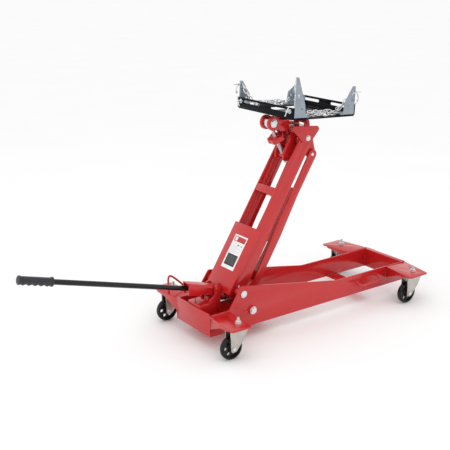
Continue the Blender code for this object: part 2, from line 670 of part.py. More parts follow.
# ---- head -----------------------------------------------------------------
def make_head(paint):
    """Head weldment: outer cheeks, deck, link lugs, screw clevis, hinge posts."""
    cheek = rounded([
        (0.416, 0.8795, 0.006), (0.428, 0.856, 0.02), (0.482, 0.8015, 0.018), (0.522, 0.7985, 0.016),
        (0.572, 0.8535, 0.012), (0.560, 0.8675, 0.008),
    ])
    low = ARM_OUT + GAP
    head = slab("head_frame", cheek, "Y", -low - 0.006, -low, paint)
    weld(head, slab("cheek", cheek, "Y", low, low + 0.006))
    deck = [(0.446, 0.8609), (0.556, 0.8545), (0.556, 0.8605), (0.446, 0.8669)]
    weld(head, slab("deck", deck, "Y", -low - 0.001, low + 0.001))
    hang = rounded([
        (0.478, 0.8605, 0.0), (0.478, 0.812, 0.02), (0.523, 0.733, 0.02), (0.545, 0.7200, 0.019),
        (0.572, 0.735, 0.019), (0.568, 0.760, 0.02), (0.543, 0.8565, 0.0),
    ])
    clevis = rounded([
        (0.407, 0.7225, 0.014), (0.405, 0.7600, 0.014), (0.434, 0.8150, 0.030), (0.441, 0.8440, 0.016),
        (0.470, 0.8430, 0.018), (0.484, 0.8060, 0.020), (0.480, 0.7700, 0.012), (0.533, 0.7660, 0.0),
        (0.533, 0.7360, 0.0), (0.452, 0.7225, 0.014),
    ])
    post = rounded([
        (0.514, 0.8580, 0.0), (0.520, 0.8925, 0.010), (0.540, 0.8925, 0.010), (0.546, 0.8560, 0.0),
    ])
    lugs = ((hang, 0.0400, 0.0480), (clevis, 0.0225, 0.0295), (post, 0.0305, 0.0385))
    for side in (-1, 1):
        for outline, inner, outer in lugs:
            a, b = sorted((side * inner, side * outer))
            weld(head, slab("lug", outline, "Y", a, b))
    bar = [(0.504, 0.7395), (0.5315, 0.7395), (0.5315, 0.7625), (0.504, 0.7625)]
    weld(head, slab("bar", bar, "Y", -0.0470, 0.0470))
    return cut(
        head, cross_hole(HEAD_PIVOT, PIN_HOLE), cross_hole(LINK_HEAD_PIVOT, 0.0081),
        cross_hole(TRUNNION, 0.0064), cross_hole(HINGE, 0.0064),
    )


def screw_direction():
    rise = Vector((SCREW_TOP[0] - TRUNNION[0], 0.0, SCREW_TOP[1] - TRUNNION[1]))
    return rise.normalized()


def make_trunnion(paint):
    """Swivel nut that the tilt screw runs through."""
    profile = [(0.0, -0.0290), (0.006, -0.0290), (0.006, -0.0220), (0.0135, -0.0220)]
    profile += [(r, -h) for r, h in reversed(profile)]
    centre = Vector((TRUNNION[0], 0.0, TRUNNION[1]))
    nut = turned("screw_trunnion", profile, centre, (0.0, 1.0, 0.0), paint, 20)
    up = screw_direction()
    return cut(nut, rod("bore", centre - up * 0.04, centre + up * 0.04, SCREW_R + 0.0006, None, 16))


def make_tilt_screw(zinc):
    """Screw with the eye that hangs on the table's pin."""
    eye = Vector((SCREW_TOP[0], 0.0, SCREW_TOP[1]))
    up = screw_direction()
    tip = eye - up * 0.205
    screw = rod("tilt_screw", tip, eye - up * 0.018, SCREW_R, zinc, 16)
    half = Vector((0.0, 0.0160, 0.0))
    weld(screw, rod("ring", eye - half, eye + half, 0.0235, None, 24))
    return cut(screw, rod("hole", eye - half * 2, eye + half * 2, 0.0158, None, 24))


def make_tilt_knob(paint):
    """Five-lobed hand wheel on the screw."""
    outline = []
    for k in range(60):
        a = 2 * math.pi * k / 60
        radius = KNOB_R * (1 + 0.10 * math.cos(5 * a))
        outline.append((radius * math.cos(a), radius * math.sin(a)))
    knob = slab("tilt_knob", outline, "Z", -0.011, 0.012, paint)
    weld(knob, rod("hub", (0, 0, -0.020), (0, 0, -0.005), 0.0150))
    cut(knob, rod("bore", (0, 0, -0.05), (0, 0, 0.05), SCREW_R + 0.0004, None, 16))
    up = screw_direction()
    eye = Vector((SCREW_TOP[0], 0.0, SCREW_TOP[1]))
    return transformed(knob, Matrix.Translation(eye - up * KNOB_DROP) @ turn_to(up))


def saddle_frame():
    """From the saddle's own axes (base underside at z 0) to the chassis."""
    return Matrix.Translation((SADDLE_X, 0.0, SADDLE_Z)) @ Matrix.Rotation(SADDLE_TILT, 4, "Y")


def in_saddle(point):
    """x, z of a chassis point seen in the saddle's own axes."""
    local = saddle_frame().inverted() @ Vector((point[0], 0.0, point[1]))
    return (local.x, local.z)


def make_tilt_table(paint):
    """Table that hinges on the head: plate, screw ears, hinge ears, pin blocks."""
    eye = in_saddle(SCREW_TOP)
    hinge = in_saddle(HINGE)
    top = -0.0200
    table = box("tilt_table", (eye[0] + 0.030, 0.108), (-0.052, 0.052), (top - 0.006, top), paint)
    for side in (-1, 1):
        a, b = sorted((side * 0.0185, side * 0.0300))
        ear = [(eye[0] + 0.083, top - 0.003), (eye[0] + 0.083, eye[1] - 0.036)]
        ear.append((eye[0] + 0.038, eye[1] - 0.034))
        ear += arc(eye, 0.031, -50, -310, 12)
        ear += [(eye[0] + 0.034, top - 0.003)]
        weld(table, slab("ear", ear, "Y", a, b))
        a, b = sorted((side * 0.0225, side * 0.0295))
        ear = [(hinge[0] - 0.011, top - 0.003), (hinge[0] - 0.011, hinge[1])]
        ear += arc(hinge, 0.010, 180, 360, 6)[1:] + [(hinge[0] + 0.011, top - 0.003)]
        weld(table, slab("ear", ear, "Y", a, b))
    pin = [(0.0, -0.0420), (0.006, -0.0420)]
    pin += [(r, -h) for r, h in reversed(pin)]
    weld(table, turned("pin", pin, (hinge[0], 0.0, hinge[1]), (0.0, 1.0, 0.0), None, 16))
    for x in (-0.098, 0.094):
        weld(table, box("block", (x, x + 0.012), (-0.011, 0.011), (top - 0.002, 0.0065 - TILT_AXIS_DROP)))
    axis_z = -TILT_AXIS_DROP
    weld(table, rod("axle", (-0.096, 0.0, axis_z), (0.104, 0.0, axis_z), 0.0050, None, 16))
    pin_hole = rod("hole", (eye[0], -0.05, eye[1]), (eye[0], 0.05, eye[1]), 0.0156, None, 24)
    screw_hole = rod("hole", (*SIDE_SCREW, -0.05), (*SIDE_SCREW, 0.0), 0.0050, None, 16)
    return transformed(cut(table, pin_hole, screw_hole), saddle_frame())


def make_screw_pin(zinc):
    return cross_pin("screw_pin", SCREW_TOP, 0.0150, 0.0300 + GAP, 0.0178, 0.004, zinc)


def make_side_screw(zinc):
    """Screw that sets the side tilt, with its own small hand knob."""
    profile = [(0.0, -0.050), (0.013, -0.050), (0.015, -0.046), (0.015, -0.038), (0.006, -0.036)]
    profile += [(0.0046, -0.034), (0.0046, -0.0012), (0.0, -0.0012)]
    screw = turned("side_tilt_screw", profile, (*SIDE_SCREW, 0.0), (0.0, 0.0, 1.0), zinc, 18)
    return transformed(screw, saddle_frame())


# ---- saddle ---------------------------------------------------------------
def make_saddle_base(black):
    hx, hy = SADDLE_HALF_X - 0.0045, SADDLE_HALF_Y
    base = box("saddle_base", (-hx, hx), (-hy, hy), (0.0, BASE_T), black)
    for side in (-1, 1):
        a, b = sorted((side * 0.062, side * 0.144))
        cut(base, box("window", (-0.112, 0.112), (a, b), (-0.01, 0.02)))
    axis_z = -TILT_AXIS_DROP
    for x in (-0.078, 0.070):
        lug = [(-0.0085, 0.001)] + arc((0.0, axis_z), 0.0085, 180, 360, 8) + [(0.0085, 0.001)]
        weld(base, slab("lug", lug, "X", x, x + 0.012))
    cut(base, rod("axle", (-0.2, 0.0, axis_z), (0.2, 0.0, axis_z), 0.0055, None, 16))
    return transformed(base, saddle_frame())


def make_rail(end, label, black):
    """Slotted angle rail across one end of the saddle."""
    face, back = end * SADDLE_HALF_X, end * (SADDLE_HALF_X - 0.004)
    a, b = sorted((face, back))
    low = BASE_T + GAP
    wide = (-SADDLE_HALF_Y, SADDLE_HALF_Y)
    rail = box("saddle_rail_" + label, (a, b), wide, (low, RAIL_HEIGHT), black)
    a, b = sorted((end * (SADDLE_HALF_X - 0.001), end * (SADDLE_HALF_X - 0.040)))
    weld(rail, box("foot", (a, b), wide, (low, low + 0.004)))
    for side in (-1, 1):
        ends = sorted((side * SLOT_Y[0], side * SLOT_Y[1]))
        slot = arc((ends[1] - 0.006, SLOT_Z), 0.006, -90, 90, 6)
        slot += arc((ends[0] + 0.006, SLOT_Z), 0.006, 90, 270, 6)
        a, b = sorted((face + end * 0.01, back - end * 0.01))
        cut(rail, slab("slot", slot, "X", a, b))
    return transformed(rail, saddle_frame())


def make_bracket(end, side, label, zinc):
    """Corner bracket: foot on the rail, tab behind it, tapered upright."""
    height = BRACKET_HEIGHT[label]
    low = BASE_T + 2 * GAP + 0.004
    inside = SADDLE_HALF_X - 0.004 - GAP
    y0, y1 = sorted((side * BRACKET_Y[0], side * BRACKET_Y[1]))
    a, b = sorted((end * inside, end * 0.088))
    bracket = box("corner_bracket_" + label, (a, b), (y0, y1), (low, low + 0.004), zinc)
    a, b = sorted((end * inside, end * (inside - 0.004)))
    weld(bracket, box("tab", (a, b), (y0, y1), (low, 0.047)))
    outline = rounded([
        (end * inside, low, 0.0), (end * inside, height, 0.003), (end * (inside - 0.014), height, 0.004),
        (end * (inside - 0.055), 0.060, 0.01), (end * (inside - 0.062), low, 0.0),
    ], 3)
    a, b = sorted((side * (BRACKET_Y[1] - 0.004), side * BRACKET_Y[1]))
    weld(bracket, slab("upright", outline, "Y", a, b))
    y = side * CLAMP_Y
    hole = rod("hole", (end * 0.10, y, SLOT_Z), (end * 0.20, y, SLOT_Z), 0.0046, None, 14)
    return transformed(cut(bracket, hole), saddle_frame())


def make_clamp_screw(end, side, label, zinc):
    """T-handled clamp screw with its washer outside the rail."""
    out = SADDLE_HALF_X + GAP
    y, z = side * CLAMP_Y, SLOT_Z
    profile = [(0.0, -0.018), (0.0042, -0.018), (0.0042, 0.0), (0.0095, 0.0), (0.0095, 0.002)]
    profile += [(0.0065, 0.0025), (0.0065, 0.007), (0.0042, 0.008), (0.0042, 0.020), (0.0, 0.021)]
    screw = turned("clamp_screw_" + label, profile, (end * out, y, z), (end, 0.0, 0.0), zinc, 16)
    reach = end * (out + 0.0165)
    ends = ((reach, y - side * 0.010, z - 0.020), (reach, y + side * 0.010, z + 0.020))
    return transformed(weld(screw, rod("bar", *ends, 0.0025, None, 10)), saddle_frame())


def make_chain(side, label, zinc):
    """Safety chain laid along one edge of the saddle, over the brackets' feet."""
    low, step, tall = BASE_T + GAP, 0.0087, 0.010
    run = [(-0.098, low + step), (-0.087, low + step), (-0.083, low), (0.083, low)]
    run += [(0.087, low + step), (0.098, low + step)]
    outline = run + [(x, z + tall) for x, z in reversed(run)]
    a, b = sorted((side * CHAIN_Y[0], side * CHAIN_Y[1]))
    return transformed(slab("safety_chain_" + label, outline, "Y", a, b, zinc), saddle_frame())


# ---- assembly -------------------------------------------------------------
def joint_empty(name, place, parent):
    """An empty on a joint's axis; place is in the chassis frame."""
    empty = bpy.data.objects.new(name, None)
    empty.empty_display_size = 0.03
    bpy.context.scene.collection.objects.link(empty)
    empty.matrix_world = Matrix.Translation(place)
    adopt(parent, [empty], Vector(place))
    return empty


def adopt(parent, children, place=None):
    """Parents children to an empty and keeps them where they were drawn."""
    for child in children:
        at = place if place is not None else Vector()
        if parent is None:
            child.location = at
        else:
            child.parent = parent
            child.location = at - PLACES[parent.name]
        if child.type == "EMPTY":
            PLACES[child.name] = Vector(at)


def saddle_point(x, y, z):
    return saddle_frame() @ Vector((x, y, z))


def build():
    for obj in list(bpy.data.objects):
        bpy.data.objects.remove(obj)

    red = make_material("red_paint", (0.52, 0.018, 0.020), 0.28, 0.0)
    dark = make_material("black_paint", (0.012, 0.012, 0.013), 0.40, 0.0)
    zinc = make_material("zinc_plate", (0.62, 0.63, 0.64), 0.30, 1.0)
    steel = make_material("bright_steel", (0.55, 0.55, 0.56), 0.25, 1.0)
    plastic = make_material("wheel_black", (0.015, 0.015, 0.016), 0.45, 0.0)
    rubber = make_material("grip_black", (0.020, 0.020, 0.022), 0.60, 0.0)

    datum = joint_empty("datum", (0.0, 0.0, 0.0), None)

    frame = [make_tray(red), make_front_crossmember(red), make_rest_hoop(red)]
    wide = PLATE_IN - GAP
    low = CHASSIS_BOTTOM + 0.0005
    frame.append(box("mid_strap", (0.822, 0.888), (-wide, wide), (low, low + 0.005), red))
    frame.append(cross_pin("arm_pivot_shaft", ARM_PIVOT, PIVOT_R, PLATE_OUT + GAP, 0.0158, 0.006, zinc))
    rear = ((-0.0497, 0.050), (-0.066, 0.034))
    front = ((0.977, 1.103), (0.953, 1.073))
    for side, label in ((-1, "right"), (1, "left")):
        frame.append(make_side_plate(side, label, red))
        frame.append(make_link_stub(side, label, zinc))
        frame.append(make_carry_handle(side, label, red))
        frame.append(make_outrigger(side, "rear_" + label, *rear, REAR_SWIVEL_X, red))
        frame.append(make_outrigger(side, "front_" + label, *front, FRONT_SWIVEL_X, red))
    frame += [make_pump_block(red), make_cylinder(steel)]
    adopt(datum, frame)

    lift = joint_empty("lift_axis", (ARM_PIVOT[0], 0.0, ARM_PIVOT[1]), datum)
    arm = [make_arm_plate(-1, "right", red), make_arm_plate(1, "left", red), make_cover(red)]
    arm += [make_brace(red), make_lever(red), make_roller(steel)]
    half = ARM_OUT + 0.0063 + GAP
    arm.append(cross_pin("head_pivot_shaft", HEAD_PIVOT, 0.008, half, 0.0110, 0.005, zinc))
    adopt(lift, arm, Vector())
    link_axis = joint_empty("link_axis", (LINK_PIVOT[0], 0.0, LINK_PIVOT[1]), datum)
    adopt(link_axis, [make_link(red)], Vector())
    ram_axis = joint_empty("ram_axis", (0.0, 0.0, RAM_Z), datum)
    adopt(ram_axis, [make_ram(steel)], Vector())

    socket_axis = joint_empty("socket_axis", (SOCKET_PIVOT[0], 0.0, SOCKET_PIVOT[1]), datum)
    adopt(socket_axis, [make_socket(red), make_handle(dark), make_grip(rubber)], Vector())
    plunger_axis = joint_empty("plunger_axis", (PLUNGER_X, 0.0, 0.18), datum)
    adopt(plunger_axis, [make_plunger(steel)], Vector())
    valve_axis = joint_empty("valve_axis", (-0.020, 0.0, 0.095), datum)
    adopt(valve_axis, [make_release_valve(zinc)], Vector())

    head_axis = joint_empty("head_axis", (HEAD_PIVOT[0], 0.0, HEAD_PIVOT[1]), lift)
    link_pin = cross_pin("link_head_pin", LINK_HEAD_PIVOT, 0.0076, LINK_OUT + GAP, 0.0080, 0.001, zinc)
    adopt(head_axis, [make_head(red), link_pin], Vector())
    trunnion_axis = joint_empty("trunnion_axis", (TRUNNION[0], 0.0, TRUNNION[1]), head_axis)
    adopt(trunnion_axis, [make_trunnion(red)], Vector())
    screw_axis = joint_empty("screw_axis", (TRUNNION[0], 0.0, TRUNNION[1]), trunnion_axis)
    adopt(screw_axis, [make_tilt_screw(zinc)], Vector())
    knob_axis = joint_empty("knob_axis", (TRUNNION[0], 0.0, TRUNNION[1]), screw_axis)
    adopt(knob_axis, [make_tilt_knob(red)], Vector())

    table_axis = joint_empty("table_axis", (HINGE[0], 0.0, HINGE[1]), head_axis)
    adopt(table_axis, [make_tilt_table(red), make_screw_pin(zinc)], Vector())
    side_spot = saddle_point(*SIDE_SCREW, 0.0)
    side_axis = joint_empty("side_screw_axis", side_spot, table_axis)
    adopt(side_axis, [make_side_screw(zinc)], Vector())
    saddle_axis = joint_empty("saddle_axis", saddle_point(0.0, 0.0, -TILT_AXIS_DROP), table_axis)
    saddle = [make_saddle_base(dark), make_rail(-1, "rear", dark), make_rail(1, "front", dark)]
    saddle += [make_chain(-1, "right", zinc), make_chain(1, "left", zinc)]
    adopt(saddle_axis, saddle, Vector())
    for end, end_label in ((-1, "rear"), (1, "front")):
        for side, side_label in ((-1, "right"), (1, "left")):
            label = end_label + "_" + side_label
            at = saddle_point(end * SADDLE_HALF_X, side * CLAMP_Y, SLOT_Z)
            bracket_axis = joint_empty("bracket_axis_" + label, at, saddle_axis)
            adopt(bracket_axis, [make_bracket(end, side, label, zinc)], Vector())
            clamp_axis = joint_empty("clamp_axis_" + label, at, bracket_axis)
            adopt(clamp_axis, [make_clamp_screw(end, side, label, zinc)], Vector())

    for x, end_label in ((REAR_SWIVEL_X, "rear"), (FRONT_SWIVEL_X, "front")):
        for side, side_label in ((-1, "right"), (1, "left")):
            label = end_label + "_" + side_label
            y = side * SWIVEL_Y
            swivel_axis = joint_empty("swivel_axis_" + label, (x, y, FORK_TOP), datum)
            adopt(swivel_axis, [make_fork(x, y, label, zinc)], Vector())
            wheel_axis = joint_empty("wheel_axis_" + label, (x - TRAIL, y, WHEEL_R), swivel_axis)
            adopt(wheel_axis, [make_wheel(x, y, label, plastic)], Vector())

    datum.location = (-CENTRE_X, 0.0, 0.0)


build()
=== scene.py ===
"""Looks of the low-profile floor transmission jack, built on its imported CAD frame."""

import json
import math

import bpy
from mathutils import Matrix, Vector


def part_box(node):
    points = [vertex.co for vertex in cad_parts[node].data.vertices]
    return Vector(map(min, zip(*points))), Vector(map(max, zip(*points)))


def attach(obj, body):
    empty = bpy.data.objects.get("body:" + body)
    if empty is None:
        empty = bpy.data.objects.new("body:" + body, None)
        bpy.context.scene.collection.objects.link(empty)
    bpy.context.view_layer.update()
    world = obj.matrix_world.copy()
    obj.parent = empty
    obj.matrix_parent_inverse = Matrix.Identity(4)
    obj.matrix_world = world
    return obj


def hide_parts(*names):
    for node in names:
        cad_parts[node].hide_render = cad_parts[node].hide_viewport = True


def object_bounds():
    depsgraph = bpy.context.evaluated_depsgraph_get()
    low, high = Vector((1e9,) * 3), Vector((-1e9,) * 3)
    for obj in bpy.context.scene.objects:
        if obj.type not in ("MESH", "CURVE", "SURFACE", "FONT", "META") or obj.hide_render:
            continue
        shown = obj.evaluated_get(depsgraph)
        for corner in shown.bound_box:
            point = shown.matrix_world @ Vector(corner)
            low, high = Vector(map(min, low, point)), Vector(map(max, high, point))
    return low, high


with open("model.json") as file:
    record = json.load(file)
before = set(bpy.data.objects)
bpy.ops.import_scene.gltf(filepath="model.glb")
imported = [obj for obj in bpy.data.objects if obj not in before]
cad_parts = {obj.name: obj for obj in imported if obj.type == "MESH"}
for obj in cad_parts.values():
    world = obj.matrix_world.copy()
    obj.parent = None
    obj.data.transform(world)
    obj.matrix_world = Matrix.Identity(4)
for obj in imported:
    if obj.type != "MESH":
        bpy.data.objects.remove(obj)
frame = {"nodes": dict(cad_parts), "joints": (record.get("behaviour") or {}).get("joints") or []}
cad_low, cad_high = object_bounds()

X = Vector((1.0, 0.0, 0.0))
Y = Vector((0.0, 1.0, 0.0))
Z = Vector((0.0, 0.0, 1.0))
CORNERS = [(end, side) for end in ("rear", "front") for side in ("right", "left")]
JOINTS = {joint["name"]: joint for joint in frame["joints"]}


# ---- places, all taken from the frame ---------------------------------------
def pivot(joint):
    return Vector(JOINTS[joint]["pos_m"])


def axis_of(joint):
    return Vector(JOINTS[joint]["axis"]).normalized()


def low(node):
    return Vector(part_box(node)[0])


def high(node):
    return Vector(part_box(node)[1])


def middle(node):
    return (low(node) + high(node)) / 2


ARM_FOOT = pivot("lift")
ARM_HEAD = pivot("head_level")
LINK_FOOT = pivot("link_swing")
ALONG = (ARM_HEAD - ARM_FOOT).normalized()
ACROSS = Vector((ALONG.z, 0.0, -ALONG.x))
SADDLE_FORE = axis_of("side_tilt")
SADDLE_UP = axis_of("side_screw_travel")
SADDLE_MID = pivot("side_tilt")


def on_arm(along, across, y=0.0):
    """A point on the arm: along it from the foot, and in front of its centre line."""
    return ARM_FOOT + ALONG * along + ACROSS * across + Y * y


def on_saddle(fore, left, up):
    """A point on the saddle, up from the underside of its base."""
    return SADDLE_MID + SADDLE_FORE * fore + Y * left + SADDLE_UP * (up + 0.010)


# ---- camera, floor and light ------------------------------------------------
EYE = Vector((-2.0521, -2.7953, 1.5675))
EYE_TURN = math.radians(-35.90)
EYE_DIP = math.radians(72.545)
EYE_LENS = 68.6
FLOOR_SIZE = 160.0
FLOOR_GAP = 0.0004


def set_camera():
    bpy.ops.object.camera_add(location=EYE, rotation=(EYE_DIP, 0.0, EYE_TURN))
    camera = bpy.context.object
    camera.name = "studio_camera"
    camera.data.lens = EYE_LENS
    camera.data.sensor_width = 36.0
    camera.data.dof.use_dof = False
    camera.data.clip_end = 300.0
    bpy.context.scene.camera = camera


def softbox(name, place, aim, size, watts, mirrored=True):
    """A square-edged lamp turned to its aim; mirrored says whether glossy faces show it."""
    bpy.ops.object.light_add(type="AREA", location=place)
    lamp = bpy.context.object
    lamp.name = name
    lamp.data.shape = "RECTANGLE"
    lamp.data.size, lamp.data.size_y = size
    lamp.data.energy = watts
    lamp.visible_glossy = mirrored
    lamp.rotation_euler = (Vector(aim) - Vector(place)).to_track_quat("-Z", "Y").to_euler()


def light_studio():
    world = bpy.data.worlds.new("studio_air")
    world.use_nodes = True
    air = world.node_tree.nodes["Background"]
    air.inputs["Color"].default_value = (1.0, 1.0, 1.0, 1.0)
    air.inputs["Strength"].default_value = 1.0
    bpy.context.scene.world = world
    softbox("overhead_box", (-0.3, -0.4, 3.4), (0.1, 0.0, 0.4), (3.0, 2.4), 13.0, False)
    softbox("right_hand_box", (-1.6, -3.4, 2.0), (0.1, 0.0, 0.5), (2.2, 2.2), 5.0)
    softbox("rear_box", (-3.6, 0.4, 1.7), (0.0, 0.0, 0.4), (2.0, 1.8), 5.0)
    bpy.context.scene.view_settings.view_transform = "Standard"


def lay_floor(finish):
    bpy.ops.mesh.primitive_plane_add(size=FLOOR_SIZE, location=(0.0, 0.0, cad_low.z - FLOOR_GAP))
    floor = bpy.context.object
    floor.name = "studio_floor"
    floor.data.materials.append(finish)


# ---- finishes -----------------------------------------------------------------
def new_finish(name):
    finish = bpy.data.materials.new(name)
    finish.use_nodes = True
    nodes = finish.node_tree.nodes
    return finish, nodes, finish.node_tree.links, nodes["Principled BSDF"]


def noise(nodes, links, scale, detail=3.0, roughness=0.55):
    """A noise pattern fixed to the piece."""
    place = nodes.new("ShaderNodeTexCoord")
    grain = nodes.new("ShaderNodeTexNoise")
    grain.inputs["Scale"].default_value = scale
    grain.inputs["Detail"].default_value = detail
    grain.inputs["Roughness"].default_value = roughness
    links.new(place.outputs["Object"], grain.inputs["Vector"])
    return grain


def ramp(nodes, links, source, stops):
    """Colours spread over a pattern; stops are (position, colour)."""
    band = nodes.new("ShaderNodeValToRGB")
    band.color_ramp.elements[0].position, first = stops[0]
    band.color_ramp.elements[0].color = (*first, 1.0)
    band.color_ramp.elements[1].position, last = stops[-1]
    band.color_ramp.elements[1].color = (*last, 1.0)
    for position, colour in stops[1:-1]:
        band.color_ramp.elements.new(position).color = (*colour, 1.0)
    links.new(source, band.inputs["Fac"])
    return band.outputs["Color"]


def spread(nodes, links, source, lowest, highest):
    """A pattern stretched to run from lowest to highest."""
    band = nodes.new("ShaderNodeMapRange")
    band.inputs["From Min"].default_value = 0.3
    band.inputs["From Max"].default_value = 0.7
    band.inputs["To Min"].default_value = lowest
    band.inputs["To Max"].default_value = highest
    links.new(source, band.inputs["Value"])
    return band.outputs["Result"]


def bumps(nodes, links, source, shader, strength, distance):
    bump = nodes.new("ShaderNodeBump")
    bump.inputs["Strength"].default_value = strength
    bump.inputs["Distance"].default_value = distance
    links.new(source, bump.inputs["Height"])
    links.new(bump.outputs["Normal"], shader.inputs["Normal"])


def make_enamel():
    """Sprayed gloss red with a faint orange peel and slow changes of depth."""
    finish, nodes, links, shader = new_finish("gloss_red_enamel")
    cloud = noise(nodes, links, 5.0, 4.0)
    depths = [(0.30, (0.50, 0.010, 0.012)), (0.70, (0.55, 0.013, 0.015))]
    tone = ramp(nodes, links, cloud.outputs["Fac"], depths)
    links.new(tone, shader.inputs["Base Color"])
    sheen = noise(nodes, links, 16.0, 2.0)
    links.new(spread(nodes, links, sheen.outputs["Fac"], 0.20, 0.25), shader.inputs["Roughness"])
    peel = noise(nodes, links, 260.0, 1.0)
    bumps(nodes, links, peel.outputs["Fac"], shader, 0.04, 0.0003)
    shader.inputs["Coat Weight"].default_value = 0.20
    shader.inputs["Coat Roughness"].default_value = 0.08
    return finish


def make_plating(name, dark, light, rough):
    """Plated steel: a cloudy tone and drifting gloss."""
    finish, nodes, links, shader = new_finish(name)
    cloud = noise(nodes, links, 34.0, 4.0)
    tone = ramp(nodes, links, cloud.outputs["Fac"], [(0.3, dark), (0.7, light)])
    links.new(tone, shader.inputs["Base Color"])
    drift = noise(nodes, links, 90.0, 3.0)
    links.new(spread(nodes, links, drift.outputs["Fac"], *rough), shader.inputs["Roughness"])
    bumps(nodes, links, drift.outputs["Fac"], shader, 0.05, 0.0003)
    shader.inputs["Metallic"].default_value = 1.0
    return finish


def make_steel():
    """Ground steel: a cloudy tone, and gloss that drifts with it."""
    finish, nodes, links, shader = new_finish("ground_steel")
    cloud = noise(nodes, links, 90.0, 5.0)
    tone = ramp(nodes, links, cloud.outputs["Fac"], [(0.3, (0.42, 0.42, 0.43)), (0.7, (0.60, 0.60, 0.61))])
    links.new(tone, shader.inputs["Base Color"])
    links.new(spread(nodes, links, cloud.outputs["Fac"], 0.18, 0.30), shader.inputs["Roughness"])
    shader.inputs["Metallic"].default_value = 1.0
    return finish


def make_black(name, dark, light, rough, grain_scale, grain, gloss):
    """Black paint, plastic or rubber: tone, roughness range, grain and gloss differ."""
    finish, nodes, links, shader = new_finish(name)
    cloud = noise(nodes, links, 24.0, 4.0)
    tone = ramp(nodes, links, cloud.outputs["Fac"], [(0.3, dark), (0.7, light)])
    links.new(tone, shader.inputs["Base Color"])
    links.new(spread(nodes, links, cloud.outputs["Fac"], *rough), shader.inputs["Roughness"])
    skin = noise(nodes, links, grain_scale, 2.0)
    bumps(nodes, links, skin.outputs["Fac"], shader, grain, 0.0004)
    shader.inputs["Specular IOR Level"].default_value = gloss
    return finish


def make_print(name, dark, light):
    """Printed vinyl for the label."""
    finish, nodes, links, shader = new_finish(name)
    cloud = noise(nodes, links, 60.0, 3.0)
    tone = ramp(nodes, links, cloud.outputs["Fac"], [(0.3, dark), (0.7, light)])
    links.new(tone, shader.inputs["Base Color"])
    shader.inputs["Roughness"].default_value = 0.38
    return finish


def make_floor_finish():
    finish, nodes, links, shader = new_finish("pale_studio_floor")
    cloud = noise(nodes, links, 1.5, 2.0)
    tone = ramp(nodes, links, cloud.outputs["Fac"], [(0.3, (0.955, 0.955, 0.955)), (0.7, (0.97, 0.97, 0.97))])
    links.new(tone, shader.inputs["Base Color"])
    shader.inputs["Roughness"].default_value = 1.0
    shader.inputs["Specular IOR Level"].default_value = 0.0
    return finish


ENAMEL = make_enamel()
ZINC = make_plating("bright_zinc_plating", (0.66, 0.67, 0.68), (0.80, 0.81, 0.82), (0.16, 0.26))
BLUE_ZINC = make_plating("blue_zinc_plating", (0.29, 0.33, 0.38), (0.36, 0.40, 0.45), (0.30, 0.42))
NICKEL = make_plating("dull_nickel_plating", (0.47, 0.45, 0.41), (0.56, 0.54, 0.50), (0.30, 0.42))
STEEL = make_steel()
BLACK = make_black(
    "satin_black_paint", (0.003, 0.003, 0.004), (0.006, 0.006, 0.008), (0.28, 0.40), 500.0, 0.08, 0.10)
BAR_BLACK = make_black(
    "gloss_black_paint", (0.004, 0.004, 0.005), (0.008, 0.008, 0.010), (0.14, 0.24), 500.0, 0.05, 0.34)
WHEEL_BLACK = make_black(
    "moulded_black_wheel", (0.003, 0.003, 0.004), (0.007, 0.007, 0.008), (0.16, 0.28), 300.0, 0.06, 0.30)
GRIP_BLACK = make_black(
    "black_grip_rubber", (0.010, 0.010, 0.014), (0.020, 0.020, 0.027), (0.26, 0.40), 700.0, 0.18, 0.50)
RACE_BLACK = make_black(
    "greased_race", (0.006, 0.006, 0.006), (0.014, 0.013, 0.012), (0.30, 0.45), 300.0, 0.10, 0.20)
PRINT_WHITE = make_print("label_white", (0.80, 0.79, 0.79), (0.86, 0.85, 0.85))
PRINT_RED = make_print("label_red", (0.50, 0.020, 0.022), (0.58, 0.028, 0.030))
PRINT_GREY = make_print("label_grey", (0.05, 0.05, 0.05), (0.09, 0.09, 0.09))
PRINT_BLACK = make_print("label_black", (0.008, 0.008, 0.009), (0.014, 0.014, 0.015))
PRINT_PALE = make_print("label_pale", (0.50, 0.49, 0.50), (0.58, 0.57, 0.58))
INKS = (PRINT_WHITE, PRINT_RED, PRINT_GREY, PRINT_BLACK, PRINT_PALE)


# ---- making pieces ------------------------------------------------------------
def deselect():
    bpy.ops.object.select_all(action="DESELECT")


def pick(piece):
    deselect()
    piece.select_set(True)
    bpy.context.view_layer.objects.active = piece


def edit(piece):
    pick(piece)
    bpy.ops.object.mode_set(mode="EDIT")
    bpy.ops.mesh.select_all(action="SELECT")


def leave_edit():
    bpy.ops.object.mode_set(mode="OBJECT")


def facing(axis):
    return Z.rotation_difference(Vector(axis)).to_euler()


def apply_all(piece):
    pick(piece)
    for modifier in list(piece.modifiers):
        bpy.ops.object.modifier_apply(modifier=modifier.name)


def soften(piece, width, segments=2, angle=30.0):
    """Rounds the sharp edges and smooths the rest."""
    bevel = piece.modifiers.new("edge_round", "BEVEL")
    bevel.width = width
    bevel.segments = segments
    bevel.limit_method = "ANGLE"
    bevel.angle_limit = math.radians(angle)
    bevel.use_clamp_overlap = True
    apply_all(piece)


def settle(piece, name, finish, body, *stands_for):
    """Puts the place into the mesh, gives the finish and hangs it on a body."""
    pick(piece)
    bpy.ops.object.transform_apply(location=True, rotation=True, scale=True)
    bpy.ops.object.shade_smooth_by_angle(angle=math.radians(38.0))
    piece.name = name
    piece.data.name = name
    piece.data.materials.clear()
    piece.data.materials.append(finish)
    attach(piece, body)
    if stands_for:
        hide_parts(*stands_for)
    return piece


def joined(first, *others):
    deselect()
    for piece in (first, *others):
        piece.select_set(True)
    bpy.context.view_layer.objects.active = first
    bpy.ops.object.join()
    return first


